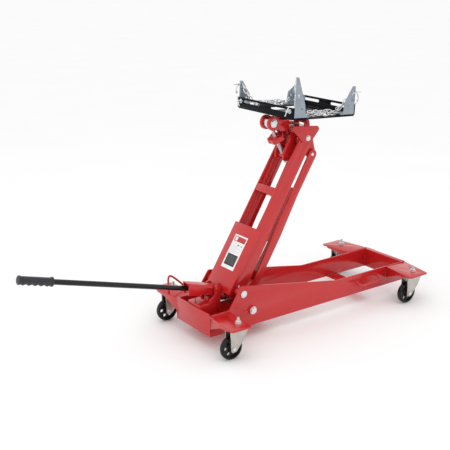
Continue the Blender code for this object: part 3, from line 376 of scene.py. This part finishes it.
def turned(profile, centre, axis, sides=32):
    """A turned piece: a disc drawn out along its axis through (radius, height) steps."""
    axis = Vector(axis).normalized()
    radius, height = profile[0]
    spot = Vector(centre) + axis * height
    deselect()
    bpy.ops.mesh.primitive_circle_add(
        vertices=sides, radius=radius, fill_type="NGON", location=spot, rotation=facing(axis))
    piece = bpy.context.object
    edit(piece)
    for next_radius, next_height in profile[1:]:
        step = axis * (next_height - height)
        bpy.ops.mesh.extrude_region_move(TRANSFORM_OT_translate={"value": step})
        spot = Vector(centre) + axis * next_height
        scale = next_radius / radius
        bpy.ops.transform.resize(value=(scale, scale, scale), center_override=spot)
        radius, height = next_radius, next_height
    bpy.ops.mesh.select_all(action="SELECT")
    bpy.ops.mesh.normals_make_consistent(inside=False)
    leave_edit()
    bpy.ops.object.transform_apply(location=True, rotation=True, scale=True)
    return piece


def bent_bar(points, radius, radii=None):
    """A round bar that follows points, its bends rounded by the curve itself."""
    deselect()
    bpy.ops.curve.primitive_nurbs_path_add()
    bar = bpy.context.object
    curve = bar.data
    curve.splines.clear()
    spline = curve.splines.new("NURBS")
    spline.points.add(len(points) - 1)
    for k, point in enumerate(points):
        spline.points[k].co = (*point, 1.0)
        spline.points[k].radius = radii[k] if radii else 1.0
    spline.order_u = 3
    spline.use_endpoint_u = True
    spline.resolution_u = 6
    curve.bevel_depth = radius
    curve.bevel_resolution = 4
    curve.use_fill_caps = True
    bpy.ops.object.convert(target="MESH")
    edit(bar)
    bpy.ops.mesh.remove_doubles(threshold=0.00001)
    bpy.ops.mesh.normals_make_consistent(inside=False)
    leave_edit()
    return bar


def hexagon(across, height, centre, axis, washer=0.0):
    """A hexagon head or nut with its corners turned down, on a washer if asked."""
    corner = across / 2 / math.cos(math.radians(30))
    foot = 0.0
    pieces = []
    if washer:
        foot = 0.0016
        rim = [(washer - 0.0004, 0.0), (washer, 0.0004), (washer, 0.0012), (washer - 0.0004, foot)]
        pieces.append(turned(rim, centre, axis, 32))
    head = turned([(corner * 0.97, foot), (corner, foot + height * 0.08), (corner, foot + height * 0.80),
                   (corner * 0.86, foot + height)], centre, axis, 6)
    soften(head, 0.0003, 1)
    return joined(head, *pieces) if pieces else head


def thread(radius, length, centre, axis, pitch=0.0020, depth=0.0007, sides=16):
    """A threaded stud, its thread drawn as closely set ridges."""
    profile = [(radius - depth, 0.0)]
    turns = int(length / pitch)
    for k in range(turns):
        profile.append((radius - depth, k * pitch + 0.0001))
        profile.append((radius, (k + 0.5) * pitch))
    profile.append((radius - depth, turns * pitch))
    profile.append(((radius - depth) * 0.8, turns * pitch + 0.0008))
    return turned(profile, centre, axis, sides)


def dressed(node, finish, body, width=0.0010, segments=2):
    """The CAD solid with its edges rounded, standing for itself."""
    source = frame["nodes"][node]
    piece = source.copy()
    piece.data = source.data.copy()
    piece.parent = None
    piece.matrix_world = Matrix()
    piece.hide_render = False
    bpy.context.scene.collection.objects.link(piece)
    edit(piece)
    bpy.ops.mesh.remove_doubles(threshold=0.00002)
    bpy.ops.mesh.dissolve_limited(angle_limit=math.radians(1.0))
    leave_edit()
    soften(piece, width, segments)
    return settle(piece, node + "_finished", finish, body, node)


def cut_away(piece, cutter):
    """Takes the cutter's shape out of the piece."""
    hollow = piece.modifiers.new("cut", "BOOLEAN")
    hollow.operation = "DIFFERENCE"
    hollow.solver = "EXACT"
    hollow.object = cutter
    apply_all(piece)
    bpy.data.objects.remove(cutter)


def weld_bead(name, start, end, body, radius=0.0028):
    """A rippled fillet of weld between two plates."""
    start, end = Vector(start), Vector(end)
    count = max(8, int((end - start).length / 0.004))
    points = [start.lerp(end, k / count) for k in range(count + 1)]
    radii = [0.85 + 0.22 * (k % 2) + 0.08 * math.sin(k * 1.7) for k in range(count + 1)]
    return settle(bent_bar(points, radius, radii=radii), name, ENAMEL, body)


# ---- casters ------------------------------------------------------------------
FORK_LEG_OUT = 0.0204
DECK_TOP = high("outrigger_front_right").z + 0.0002
WHEEL_WINDOWS = 6
WINDOW_RING = 0.0285
WINDOW_R = 0.0074


def make_wheel_master():
    """One wheel round the origin, its axle along Y, with a thin web and round windows."""
    radius = (high("caster_wheel_rear_right") - low("caster_wheel_rear_right")).z / 2
    half = (high("caster_wheel_rear_right") - low("caster_wheel_rear_right")).y / 2
    side = [(0.0070, half), (0.0140, half), (0.0158, half - 0.0012), (0.0172, 0.0050), (0.0195, 0.0028),
            (0.0375, 0.0028), (0.0396, 0.0050), (0.0408, half - 0.0022), (0.0425, half - 0.0010),
            (radius - 0.0045, half - 0.0010), (radius - 0.0018, half - 0.0030), (radius, half - 0.0075)]
    profile = [(r, -h) for r, h in side] + [(r, h) for r, h in reversed(side)]
    wheel = turned(profile, (0.0, 0.0, 0.0), Y, 64)
    windows = []
    for k in range(WHEEL_WINDOWS):
        turn = 2.0 * math.pi * k / WHEEL_WINDOWS
        spot = (WINDOW_RING * math.cos(turn), 0.0, WINDOW_RING * math.sin(turn))
        windows.append(turned([(WINDOW_R, -0.02), (WINDOW_R, 0.02)], spot, Y, 20))
    cut_away(wheel, joined(windows[0], *windows[1:]))
    return wheel


def copy_to(master, place):
    twin = master.copy()
    twin.data = master.data.copy()
    bpy.context.scene.collection.objects.link(twin)
    twin.location = place
    return twin


def make_casters():
    wheel = make_wheel_master()
    for end, side in CORNERS:
        corner = end + "_" + side
        fork_body, wheel_body = "caster_" + corner, "wheel_" + corner
        swivel, axle = pivot("swivel_" + corner), pivot("roll_" + corner)
        twin = copy_to(wheel, axle)
        settle(twin, "wheel_" + corner, WHEEL_BLACK, wheel_body, "caster_wheel_" + corner)
        fork = "caster_fork_" + corner
        dressed(fork, NICKEL, fork_body, 0.0012, 2)
        for out in (-1.0, 1.0):
            leg = axle + Y * out * FORK_LEG_OUT
            nut = hexagon(0.0150, 0.0052, leg, Y * out, 0.0095)
            settle(nut, "axle_nut_%s_%s" % (corner, "left" if out > 0 else "right"), ZINC, fork_body)
        race = [(0.0300, 0.0005), (0.0334, 0.0012), (0.0344, 0.0030), (0.0344, 0.0050), (0.0322, 0.0066)]
        race = turned(race, swivel, Z, 48)
        settle(race, "lower_race_" + corner, NICKEL, fork_body)
        seal = turned([(0.0318, 0.0068), (0.0318, 0.0104)], swivel, Z, 48)
        settle(seal, "race_gap_" + corner, RACE_BLACK, fork_body)
        cap = turned([(0.0326, 0.0104), (0.0342, 0.0112), (0.0342, 0.0130), (0.0330, 0.0137)], swivel, Z, 48)
        settle(cap, "upper_race_" + corner, NICKEL, "chassis")
        deck = Vector((swivel.x, swivel.y, DECK_TOP))
        settle(hexagon(0.0215, 0.0092, deck, Z, 0.0150), "kingpin_nut_" + corner, ZINC, "chassis")
        stud = thread(0.0062, high(fork).z - DECK_TOP - 0.0118, deck + Z * 0.0105, Z)
        settle(stud, "kingpin_stud_" + corner, ZINC, "chassis")
    bpy.data.objects.remove(wheel)


# ---- chassis ------------------------------------------------------------------
BAR_R = 0.0050
HOOP_R = 0.0045
PLUG_BACK = -0.0445
PLUG_OUT = 0.1667


def make_chassis():
    sheet = ["rear_tray", "front_crossmember", "mid_strap"]
    sheet += ["side_plate_" + side for side in ("right", "left")]
    sheet += ["outrigger_%s_%s" % (end, side) for end, side in CORNERS]
    for node in sheet:
        dressed(node, ENAMEL, "chassis", 0.0009, 2)
    for side in ("right", "left"):
        make_carry_handle(side)
        make_link_bolt(side)
        make_deck_plug(side)
    make_hoop()
    make_pivot_caps()
    make_frame_welds()


def make_carry_handle(side):
    node = "carry_handle_" + side
    lo, hi = low(node), high(node)
    wall, out = (hi.y, lo.y) if side == "right" else (lo.y, hi.y)
    away = 1.0 if side == "left" else -1.0
    edge = out - away * 0.005
    rear, front = lo.x + 0.005, hi.x - 0.005
    points = [(rear, wall, 0.1235), (rear, wall + away * 0.012, 0.1235),
              (rear + 0.002, wall + away * 0.026, 0.1170), (rear + 0.006, edge - away * 0.002, 0.1108),
              (rear + 0.022, edge, 0.1085), (front - 0.020, edge, 0.1095),
              (front - 0.006, edge - away * 0.002, 0.1120), (front - 0.001, wall + away * 0.026, 0.1190),
              (front, wall + away * 0.012, 0.1255), (front, wall, 0.1255)]
    settle(bent_bar(points, BAR_R), "carry_bar_" + side, ENAMEL, "chassis", node)
    for name, spot in (("rear", points[0]), ("front", points[-1])):
        ring = turned([(0.0056, 0.0), (0.0078, 0.0004), (0.0072, 0.0022), (0.0054, 0.0036)], spot, Y * away, 20)
        settle(ring, "carry_bar_weld_%s_%s" % (name, side), ENAMEL, "chassis")


def make_hoop():
    lo, hi = low("handle_rest_hoop"), high("handle_rest_hoop")
    y = (lo.y + hi.y) / 2
    rear, front, foot, top = lo.x + 0.005, hi.x - 0.005, lo.z, hi.z - 0.0045
    points = [(rear + 0.002, y, foot), (rear, y, foot + 0.030), (rear, y, top - 0.012),
              (rear + 0.005, y, top + 0.001), (rear + 0.018, y, top - 0.002), (rear + 0.050, y, top - 0.030),
              (front - 0.010, y, foot + 0.016), (front - 0.001, y, foot)]
    settle(bent_bar(points, HOOP_R), "handle_hoop", ENAMEL, "chassis", "handle_rest_hoop")


def make_link_bolt(side):
    """Shouldered hexagon bolt through the boss on the side plate."""
    node = "link_pivot_bolt_" + side
    lo, hi = low(node), high(node)
    away = 1.0 if side == "left" else -1.0
    face = (hi.y if side == "left" else lo.y) - away * 0.009
    boss = Vector((LINK_FOOT.x, face, LINK_FOOT.z))
    shank = turned([(0.0088, 0.0), (0.0088, 0.094)], boss, Y * -away, 28)
    head = hexagon(0.0250, 0.0070, boss, Y * away, 0.0172)
    settle(joined(shank, head), "link_bolt_" + side, ZINC, "chassis", node)


def make_deck_plug(side):
    """Painted plug bolt at the height of the rear outrigger's deck, in front of it."""
    out = PLUG_OUT if side == "left" else -PLUG_OUT
    spot = Vector((PLUG_BACK, out, high("outrigger_rear_" + side).z - 0.0004))
    head = [(0.0080, 0.0), (0.0086, 0.0006), (0.0086, 0.0030), (0.0074, 0.0042), (0.0048, 0.0042),
            (0.0040, 0.0024), (0.0020, 0.0022)]
    settle(turned(head, spot, Z, 32), "deck_plug_" + side, ENAMEL, "chassis")


def make_pivot_caps():
    """The arm pivot shaft with its domed keeper at each end."""
    lo, hi = low("arm_pivot_shaft"), high("arm_pivot_shaft")
    half = (hi.y - lo.y) / 2 - 0.006
    shaft = turned([(0.0100, -half), (0.0100, half)], ARM_FOOT, Y, 32)
    keeper = [(0.0150, 0.0), (0.0158, 0.0005), (0.0158, 0.0022), (0.0150, 0.0028), (0.0118, 0.0030),
              (0.0116, 0.0048), (0.0098, 0.0058), (0.0040, 0.0060)]
    ends = [turned(keeper, ARM_FOOT + Y * away * half, Y * away, 36) for away in (-1.0, 1.0)]
    settle(joined(shaft, *ends), "arm_shaft", ZINC, "chassis", "arm_pivot_shaft")


def make_frame_welds():
    plate = high("side_plate_left").y - 0.013
    for end, side in CORNERS:
        away = 1.0 if side == "left" else -1.0
        node = "outrigger_%s_%s" % (end, side)
        lo, hi = low(node), high(node)
        y = away * (plate + 0.0008)
        front_x = hi.x - 0.004 if end == "front" else hi.x - 0.006
        rear_x = lo.x + (0.026 if end == "front" else 0.020)
        z = hi.z + 0.0002
        weld_bead("weld_top_%s_%s" % (end, side), (rear_x, y, z), (front_x, y, z), "chassis", 0.0026)
    tray_x = low("rear_tray").x + 0.0055
    beam_x = low("front_crossmember").x - 0.0004
    strap_low, strap_high = low("mid_strap"), high("mid_strap")
    for side, away in (("right", -1.0), ("left", 1.0)):
        inside = away * (high("rear_tray").y + 0.0002)
        corner = inside - away * 0.0008
        weld_bead("weld_tray_" + side, (tray_x, corner, 0.070), (tray_x, corner, 0.148), "chassis", 0.0024)
        weld_bead("weld_strap_" + side, (strap_low.x + 0.006, inside, strap_high.z),
                  (strap_high.x - 0.006, inside, strap_high.z), "chassis", 0.0026)
        weld_bead("weld_front_" + side, (beam_x, inside, 0.070), (beam_x, inside, 0.140), "chassis", 0.0024)


# ---- lift arm ------------------------------------------------------------------
NIPPLE_OUT = 0.092
NIPPLE_RISE = 0.0184


def make_arm():
    for node in ("arm_plate_right", "arm_plate_left", "arm_cover", "arm_brace", "arm_lever"):
        dressed(node, ENAMEL, "lift_arm", 0.0010, 2)
    roller = middle("lever_roller")
    wheel = turned([(0.0108, -0.0197), (0.0110, -0.0190), (0.0110, 0.0190), (0.0108, 0.0197)], roller, Y, 32)
    pin = turned([(0.0058, -0.0300), (0.0060, -0.0294), (0.0060, 0.0294), (0.0058, 0.0300)], roller, Y, 24)
    settle(joined(wheel, pin), "lever_roller_steel", STEEL, "lift_arm", "lever_roller")
    half = (high("head_pivot_shaft") - low("head_pivot_shaft")).y / 2 - 0.005
    shaft = turned([(0.0080, -half), (0.0080, half)], ARM_HEAD, Y, 28)
    heads = [hexagon(0.0190, 0.0046, ARM_HEAD + Y * away * (half - 0.0012), Y * away, 0.0125)
             for away in (-1.0, 1.0)]
    settle(joined(shaft, *heads), "head_shaft", ZINC, "lift_arm", "head_pivot_shaft")
    dressed("parallel_link", ENAMEL, "parallel_link", 0.0010, 2)
    nipple = [(0.0048, 0.0), (0.0048, 0.0040), (0.0028, 0.0050), (0.0028, 0.0075), (0.0040, 0.0090),
              (0.0036, 0.0112), (0.0016, 0.0124)]
    for away, side in ((-1.0, "right"), (1.0, "left")):
        spot = ARM_FOOT + Y * away * NIPPLE_OUT + Z * NIPPLE_RISE
        settle(turned(nipple, spot, Z, 20), "grease_nipple_" + side, ZINC, "lift_arm")


LABEL_WIDTH = 0.086
LABEL_FOOT = 0.067
LABEL_HEAD = 0.221


def make_label():
    """A plain printed label: a red header with a white square, short bars and one dark block."""
    cover = frame["nodes"]["arm_cover"].data.vertices
    face = min((Vector(v.co) - ARM_FOOT).dot(ACROSS) for v in cover) - 0.0002
    length = LABEL_HEAD - LABEL_FOOT
    deselect()
    bpy.ops.mesh.primitive_plane_add(size=1.0)
    label = bpy.context.object
    label.scale = (LABEL_WIDTH, length, 1.0)
    bpy.ops.object.transform_apply(location=False, rotation=False, scale=True)
    bands = [  # left, right, bottom, top in parts of the label, then the ink
        (0.06, 0.94, 0.805, 0.955, 1), (0.09, 0.13, 0.825, 0.935, 2), (0.13, 0.31, 0.825, 0.935, 0),
        (0.31, 0.35, 0.825, 0.935, 3), (0.16, 0.40, 0.735, 0.750, 4), (0.50, 0.62, 0.700, 0.735, 2),
        (0.76, 0.86, 0.700, 0.725, 2), (0.10, 0.90, 0.100, 0.430, 3),
    ]
    bands += [(0.14, 0.60 + 0.26 * (k % 2), 0.480 + 0.045 * k, 0.492 + 0.045 * k, 4) for k in range(5)]
    bands += [(0.16, 0.84, 0.155 + 0.040 * k, 0.182 + 0.040 * k, 2) for k in range(6)]
    cuts = [((1.0, 0.0, 0.0), (x - 0.5) * LABEL_WIDTH) for band in bands for x in band[:2]]
    cuts += [((0.0, 1.0, 0.0), (y - 0.5) * length) for band in bands for y in band[2:4]]
    for normal, offset in sorted(set(cuts)):
        edit(label)
        bpy.ops.mesh.bisect(plane_co=Vector(normal) * offset, plane_no=normal)
        leave_edit()
    for ink in INKS:
        label.data.materials.append(ink)
    for patch in label.data.polygons:
        x = patch.center.x / LABEL_WIDTH + 0.5
        y = patch.center.y / length + 0.5
        for left, right, bottom, top, ink in bands:
            if left < x < right and bottom < y < top:
                patch.material_index = ink
    thick = label.modifiers.new("vinyl", "SOLIDIFY")
    thick.thickness = 0.0003
    thick.offset = 1.0
    apply_all(label)
    label.location = on_arm((LABEL_HEAD + LABEL_FOOT) / 2, face)
    label.rotation_euler = Matrix((Y * -1.0, ALONG, -ACROSS)).transposed().to_euler()
    bpy.ops.object.transform_apply(location=True, rotation=True, scale=True)
    label.name = "plain_label"
    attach(label, "lift_arm")


# ---- power unit -----------------------------------------------------------------
def make_power_unit():
    dressed("pump_block", ENAMEL, "chassis", 0.0014, 2)
    lo, hi = low("ram_cylinder"), high("ram_cylinder")
    mid = middle("ram_cylinder")
    length, radius = hi.x - lo.x, (hi.z - lo.z) / 2
    barrel = [(0.0140, 0.0), (radius, 0.0), (radius, length - 0.006), (radius - 0.002, length - 0.003),
              (radius - 0.004, length), (0.0145, length)]
    barrel = turned(barrel, Vector((lo.x, 0.0, mid.z)), X, 48)
    settle(barrel, "ram_barrel", ENAMEL, "chassis", "ram_cylinder")
    dressed("ram", STEEL, "ram", 0.0006, 1)
    dressed("release_valve", ZINC, "release_valve", 0.0006, 2)
    dressed("pump_plunger", STEEL, "pump_plunger", 0.0005, 2)
    deck = pivot("handle_pump").z - 0.054
    stem = [(0.0052, 0.0), (0.0052, 0.0030), (0.0026, 0.0034), (0.0026, 0.0190), (0.0018, 0.0200)]
    spot = Vector((low("pump_block").x + 0.007, 0.0, deck))
    settle(turned(stem, spot, Z, 20), "overload_stem", ENAMEL, "chassis")


HANDLE_SLOPE = math.radians(15.5)
HANDLE_R = 0.011
GRIP_LENGTH = 0.140
GRIP_WAIST = 0.0160
WAIST_START = 0.0090
WAIST_LENGTH = 0.1220


def make_handle():
    dressed("handle_socket", ENAMEL, "pump_handle", 0.0010, 2)
    pin = pivot("handle_pump")
    half = (high("handle_socket") - low("handle_socket")).y / 2
    for away, side in ((-1.0, "right"), (1.0, "left")):
        end = turned([(0.0070, 0.0), (0.0098, 0.0004), (0.0098, 0.0022), (0.0080, 0.0034), (0.0030, 0.0036)],
                     pin + Y * away * (half - 0.0034), Y * away, 32)
        settle(end, "socket_pin_end_" + side, ENAMEL, "pump_handle")
    lo, hi = low("pump_handle"), high("pump_handle")
    slope = HANDLE_SLOPE
    rearward = Vector((-math.cos(slope), 0.0, math.sin(slope)))
    upward = Vector((math.sin(slope), 0.0, math.cos(slope)))
    front = Vector((hi.x - HANDLE_R * math.sin(slope), 0.0, lo.z + HANDLE_R * math.cos(slope)))
    length = ((hi.x - lo.x) - 2 * HANDLE_R * math.sin(slope)) / math.cos(slope)
    bar = [(0.0085, 0.0), (0.0106, 0.0), (HANDLE_R, 0.0006), (HANDLE_R, length - 0.003),
           (0.0100, length - 0.002)]
    settle(turned(bar, front, rearward, 40), "handle_bar", BAR_BLACK, "pump_handle", "pump_handle")
    make_grip(front, rearward, upward, length)


def make_grip(front, rearward, upward, length):
    """Moulded grip: a collar, a smooth back and five finger swells underneath."""
    start = front + rearward * (length - GRIP_LENGTH + 0.004)
    profile = [(0.0114, 0.0), (0.0176, 0.0), (0.0188, 0.0012), (0.0190, 0.0052), (0.0182, 0.0075),
               (GRIP_WAIST, WAIST_START)]
    rings = 50
    for k in range(1, rings + 1):
        profile.append((GRIP_WAIST, WAIST_START + WAIST_LENGTH * k / rings))
    profile += [(0.0172, 0.1320), (0.0180, 0.1336), (0.0180, 0.1366), (0.0168, 0.1388), (0.0120, GRIP_LENGTH)]
    grip = turned(profile, start, rearward, 32)
    for vertex in grip.data.vertices:
        offset = vertex.co - start
        run = offset.dot(rearward)
        if WAIST_START < run < 0.1311:
            radial = offset - rearward * run
            down = max(0.0, -radial.normalized().dot(upward))
            swell = 0.5 - 0.5 * math.cos(2 * math.pi * 5 * (run - WAIST_START) / WAIST_LENGTH)
            vertex.co += radial.normalized() * (0.0030 * swell * down - 0.0012 * (1 - swell) * down)
    settle(grip, "grip_rubber", GRIP_BLACK, "pump_handle", "handle_grip")


# ---- head -----------------------------------------------------------------------
def make_head():
    dressed("head_frame", ENAMEL, "head", 0.0010, 2)
    half = (high("link_head_pin") - low("link_head_pin")).y / 2
    pin = [(0.0070, -half), (0.0076, -half + 0.0006), (0.0076, half - 0.0006), (0.0070, half)]
    pin = turned(pin, middle("link_head_pin"), Y, 28)
    settle(pin, "link_upper_pin", ZINC, "head", "link_head_pin")
    dressed("screw_trunnion", ENAMEL, "screw_trunnion", 0.0008, 2)
    dressed("tilt_table", ENAMEL, "tilt_table", 0.0010, 2)
    make_tilt_screw()
    make_screw_pin()
    make_side_screw()


def make_tilt_screw():
    """Threaded rod below the turned eye that hangs from the table's pin."""
    up = axis_of("screw_travel")
    eye = middle("screw_pin")
    dressed("tilt_screw", ZINC, "tilt_screw", 0.0006, 2)
    rod = thread(0.0078, 0.172, eye - up * 0.2045, up, 0.0025, 0.0008, 20)
    settle(rod, "tilt_screw_thread", ZINC, "tilt_screw")
    dressed("tilt_knob", ENAMEL, "tilt_knob", 0.0034, 3)


def make_screw_pin():
    pin = middle("screw_pin")
    half = (high("screw_pin") - low("screw_pin")).y / 2 - 0.004
    shank = [(0.0148, -half), (0.0150, -half + 0.0004), (0.0150, half - 0.0004), (0.0148, half)]
    shank = turned(shank, pin, Y, 36)
    heads = [hexagon(0.0290, 0.0030, pin + Y * away * (half - 0.0012), Y * away, 0.0178)
             for away in (-1.0, 1.0)]
    settle(joined(shank, *heads), "screw_pin_bolt", ZINC, "tilt_table", "screw_pin")


def make_side_screw():
    dressed("side_tilt_screw", ZINC, "side_tilt_screw", 0.0008, 2)


# ---- saddle ----------------------------------------------------------------------
BRACKET_SIDE = 0.187
LINK_HALF = 0.0080
LINK_WIRE = 0.0023
LINK_STRETCH = 0.0100
CHAIN_REST = 0.0134
CHAIN_LAYER = 0.0105
HOOK_R = 0.0030
CROSS_BAR_R = 0.0024
CHAIN_REACH = 0.084
TIE_PATH = ((0.150, 0.184, 0.104), (0.147, 0.174, 0.085), (0.140, 0.164, 0.067), (0.134, 0.153, 0.050),
            (0.128, 0.143, 0.033), (0.112, 0.138, 0.024))
BRACKET_HOLES = ((0.128, 0.044, 0.0040), (0.151, 0.098, 0.0036), (0.144, 0.139, 0.0026))  # fore, up, radius


def make_saddle():
    dressed("saddle_base", BLACK, "saddle", 0.0008, 2)
    for end in ("rear", "front"):
        dressed("saddle_rail_" + end, BLACK, "saddle", 0.0010, 2)
    for end, side in CORNERS:
        corner = end + "_" + side
        make_bracket(end, side)
        dressed("clamp_screw_" + corner, ZINC, "clamp_" + corner, 0.0005, 2)
        # bright bar up each bracket's outer corner: a painted highlight
        make_bracket_highlight_strip(end, side)
        make_clamp_nut(end, side)
        make_tie_chain(end, side)
    make_tie_hook("rear", "left")
    make_tie_hook("front", "right")
    for side in ("right", "left"):
        make_chain(side)


def make_bracket(end, side):
    """Plated corner bracket with its three chain holes."""
    corner = end + "_" + side
    fore = -1.0 if end == "rear" else 1.0
    away = -1.0 if side == "right" else 1.0
    bracket = dressed("corner_bracket_" + corner, BLUE_ZINC, "bracket_" + corner, 0.0009, 2)
    cutters = []
    for run, up, radius in BRACKET_HOLES:
        spot = on_saddle(fore * run, away * BRACKET_SIDE, up)
        cutters.append(turned([(radius, -0.02), (radius, 0.02)], spot, Y, 20))
    cut_away(bracket, joined(cutters[0], *cutters[1:]))


def make_tie_hook(end, side):
    """Bent hook that hangs in the upper hole of a bracket, with its cross bar on top."""
    corner = end + "_" + side
    fore = -1.0 if end == "rear" else 1.0
    away = -1.0 if side == "right" else 1.0
    side_out = BRACKET_SIDE + 0.0058
    path = [(0.151, BRACKET_SIDE - 0.010, 0.098), (0.151, side_out, 0.098), (0.160, side_out, 0.100),
            (0.172, side_out, 0.097), (0.178, side_out, 0.086), (0.179, side_out, 0.072),
            (0.175, side_out + 0.003, 0.063), (0.168, side_out + 0.010, 0.061),
            (0.162, side_out + 0.012, 0.069)]
    hook = bent_bar([on_saddle(fore * run, away * out, up) for run, out, up in path], HOOK_R)
    bar = [(0.158, side_out, 0.1035), (0.192, side_out, 0.1010)]
    cross = bent_bar([on_saddle(fore * run, away * out, up) for run, out, up in bar], CROSS_BAR_R)
    settle(joined(hook, cross), "tie_hook_" + corner, ZINC, "bracket_" + corner)


def reach(node, direction):
    """How far a node goes from the saddle's middle along a direction."""
    return max((Vector(v.co) - SADDLE_MID).dot(direction) for v in frame["nodes"][node].data.vertices)


def make_bracket_highlight_strip(end, side):
    """A bright zinc bar up the outer corner of a bracket, above the rail: a painted highlight standing for the
    reflection along the bracket's edge.
    """
    corner = end + "_" + side
    away = -1.0 if side == "right" else 1.0
    fore = -1.0 if end == "rear" else 1.0
    node = "corner_bracket_" + corner
    out = fore * reach(node, SADDLE_FORE * fore)
    top = reach(node, SADDLE_UP) - 0.014
    foot = reach("saddle_rail_" + end, SADDLE_UP) - 0.007
    left = away * (BRACKET_SIDE - 0.002)
    points = [on_saddle(out, left, foot), on_saddle(out, left, (foot + top) / 2), on_saddle(out, left, top)]
    # this bar is a painted highlight, a bright strip where the bracket's edge reflects light
    settle(bent_bar(points, 0.0017), "bracket_highlight_strip_" + corner, ZINC, "bracket_" + corner)


def make_clamp_nut(end, side):
    """Hexagon nut and washer on the clamp screw, inside the bracket's tab."""
    corner = end + "_" + side
    fore = -1.0 if end == "rear" else 1.0
    spot = pivot("clamp_turn_" + corner) - SADDLE_FORE * fore * 0.0087
    nut = hexagon(0.0150, 0.0060, spot, SADDLE_FORE * -fore, 0.0115)
    settle(nut, "clamp_nut_" + corner, ZINC, "bracket_" + corner)


def make_chain_link():
    """One welded link round the origin, long in X and flat in XY."""
    deselect()
    bpy.ops.mesh.primitive_torus_add(
        major_radius=LINK_HALF, minor_radius=LINK_WIRE, major_segments=20, minor_segments=8)
    link = bpy.context.object
    for vertex in link.data.vertices:
        vertex.co.x += math.copysign(LINK_STRETCH / 2, vertex.co.x)
    return link


def make_tie_chain(end, side):
    """Short hold-down chain hanging inside a bracket, from its upper hole towards its foot."""
    corner = end + "_" + side
    fore = -1.0 if end == "rear" else 1.0
    away = -1.0 if side == "right" else 1.0
    master = make_chain_link()
    links = []
    for k in range(len(TIE_PATH) - 1):
        spots = [on_saddle(fore * run, away * out, up) for run, out, up in TIE_PATH[k:k + 2]]
        along = (spots[1] - spots[0]).normalized()
        link = copy_to(master, (0.0, 0.0, 0.0))
        turn = X.rotation_difference(along).to_matrix().to_4x4()
        turn = turn @ Matrix.Rotation(0.4 + 1.4 * (k % 2), 4, "X")
        link.data.transform(Matrix.Translation((spots[0] + spots[1]) / 2) @ turn)
        links.append(link)
    bpy.data.objects.remove(master)
    settle(joined(links[0], *links[1:]), "tie_chain_" + corner, ZINC, "bracket_" + corner)


def make_chain(side):
    """Safety chain laid along one edge of the saddle and folded back over itself."""
    node = "safety_chain_" + side
    away = -1.0 if side == "right" else 1.0
    left = away * (abs(low(node).y) + abs(high(node).y)) / 2
    pitch = 2.0 * LINK_HALF + LINK_STRETCH - 2.0 * LINK_WIRE - 0.0008
    count = int(CHAIN_REACH * 2.0 / pitch)
    master = make_chain_link()
    place = Matrix((SADDLE_FORE, Y, SADDLE_UP)).transposed().to_4x4()
    links = []
    for k in range(2 * count + 1):
        layer = k // (count + 1)
        run = k % (count + 1)
        fore = (run - count / 2) * pitch * (1.0 - 0.12 * layer) + 0.007 * layer
        up = CHAIN_REST + CHAIN_LAYER * layer + 0.0030 * math.sin(k * 2.3)
        sway = 0.0026 * math.sin(k * 1.9)
        lean = (0.62 if k % 2 else -0.62) + 0.20 * math.sin(k * 1.3)
        twist = place @ Matrix.Rotation(lean, 4, "X") @ Matrix.Rotation(0.20 * math.sin(k * 2.9), 4, "Z")
        link = copy_to(master, (0.0, 0.0, 0.0))
        link.data.transform(Matrix.Translation(on_saddle(fore, left + sway, up)) @ twist)
        links.append(link)
    ring = [(0.092, 0.026), (0.096, 0.036), (0.104, 0.038), (0.108, 0.030), (0.103, 0.023), (0.096, 0.024)]
    links.append(bent_bar([on_saddle(fore, left, up) for fore, up in ring], 0.0026))
    bpy.data.objects.remove(master)
    settle(joined(links[0], *links[1:]), "chain_" + side, ZINC, "saddle", node)


set_camera()
light_studio()
lay_floor(make_floor_finish())
make_chassis()
make_casters()
make_arm()
make_label()
make_power_unit()
make_handle()
make_head()
make_saddle()
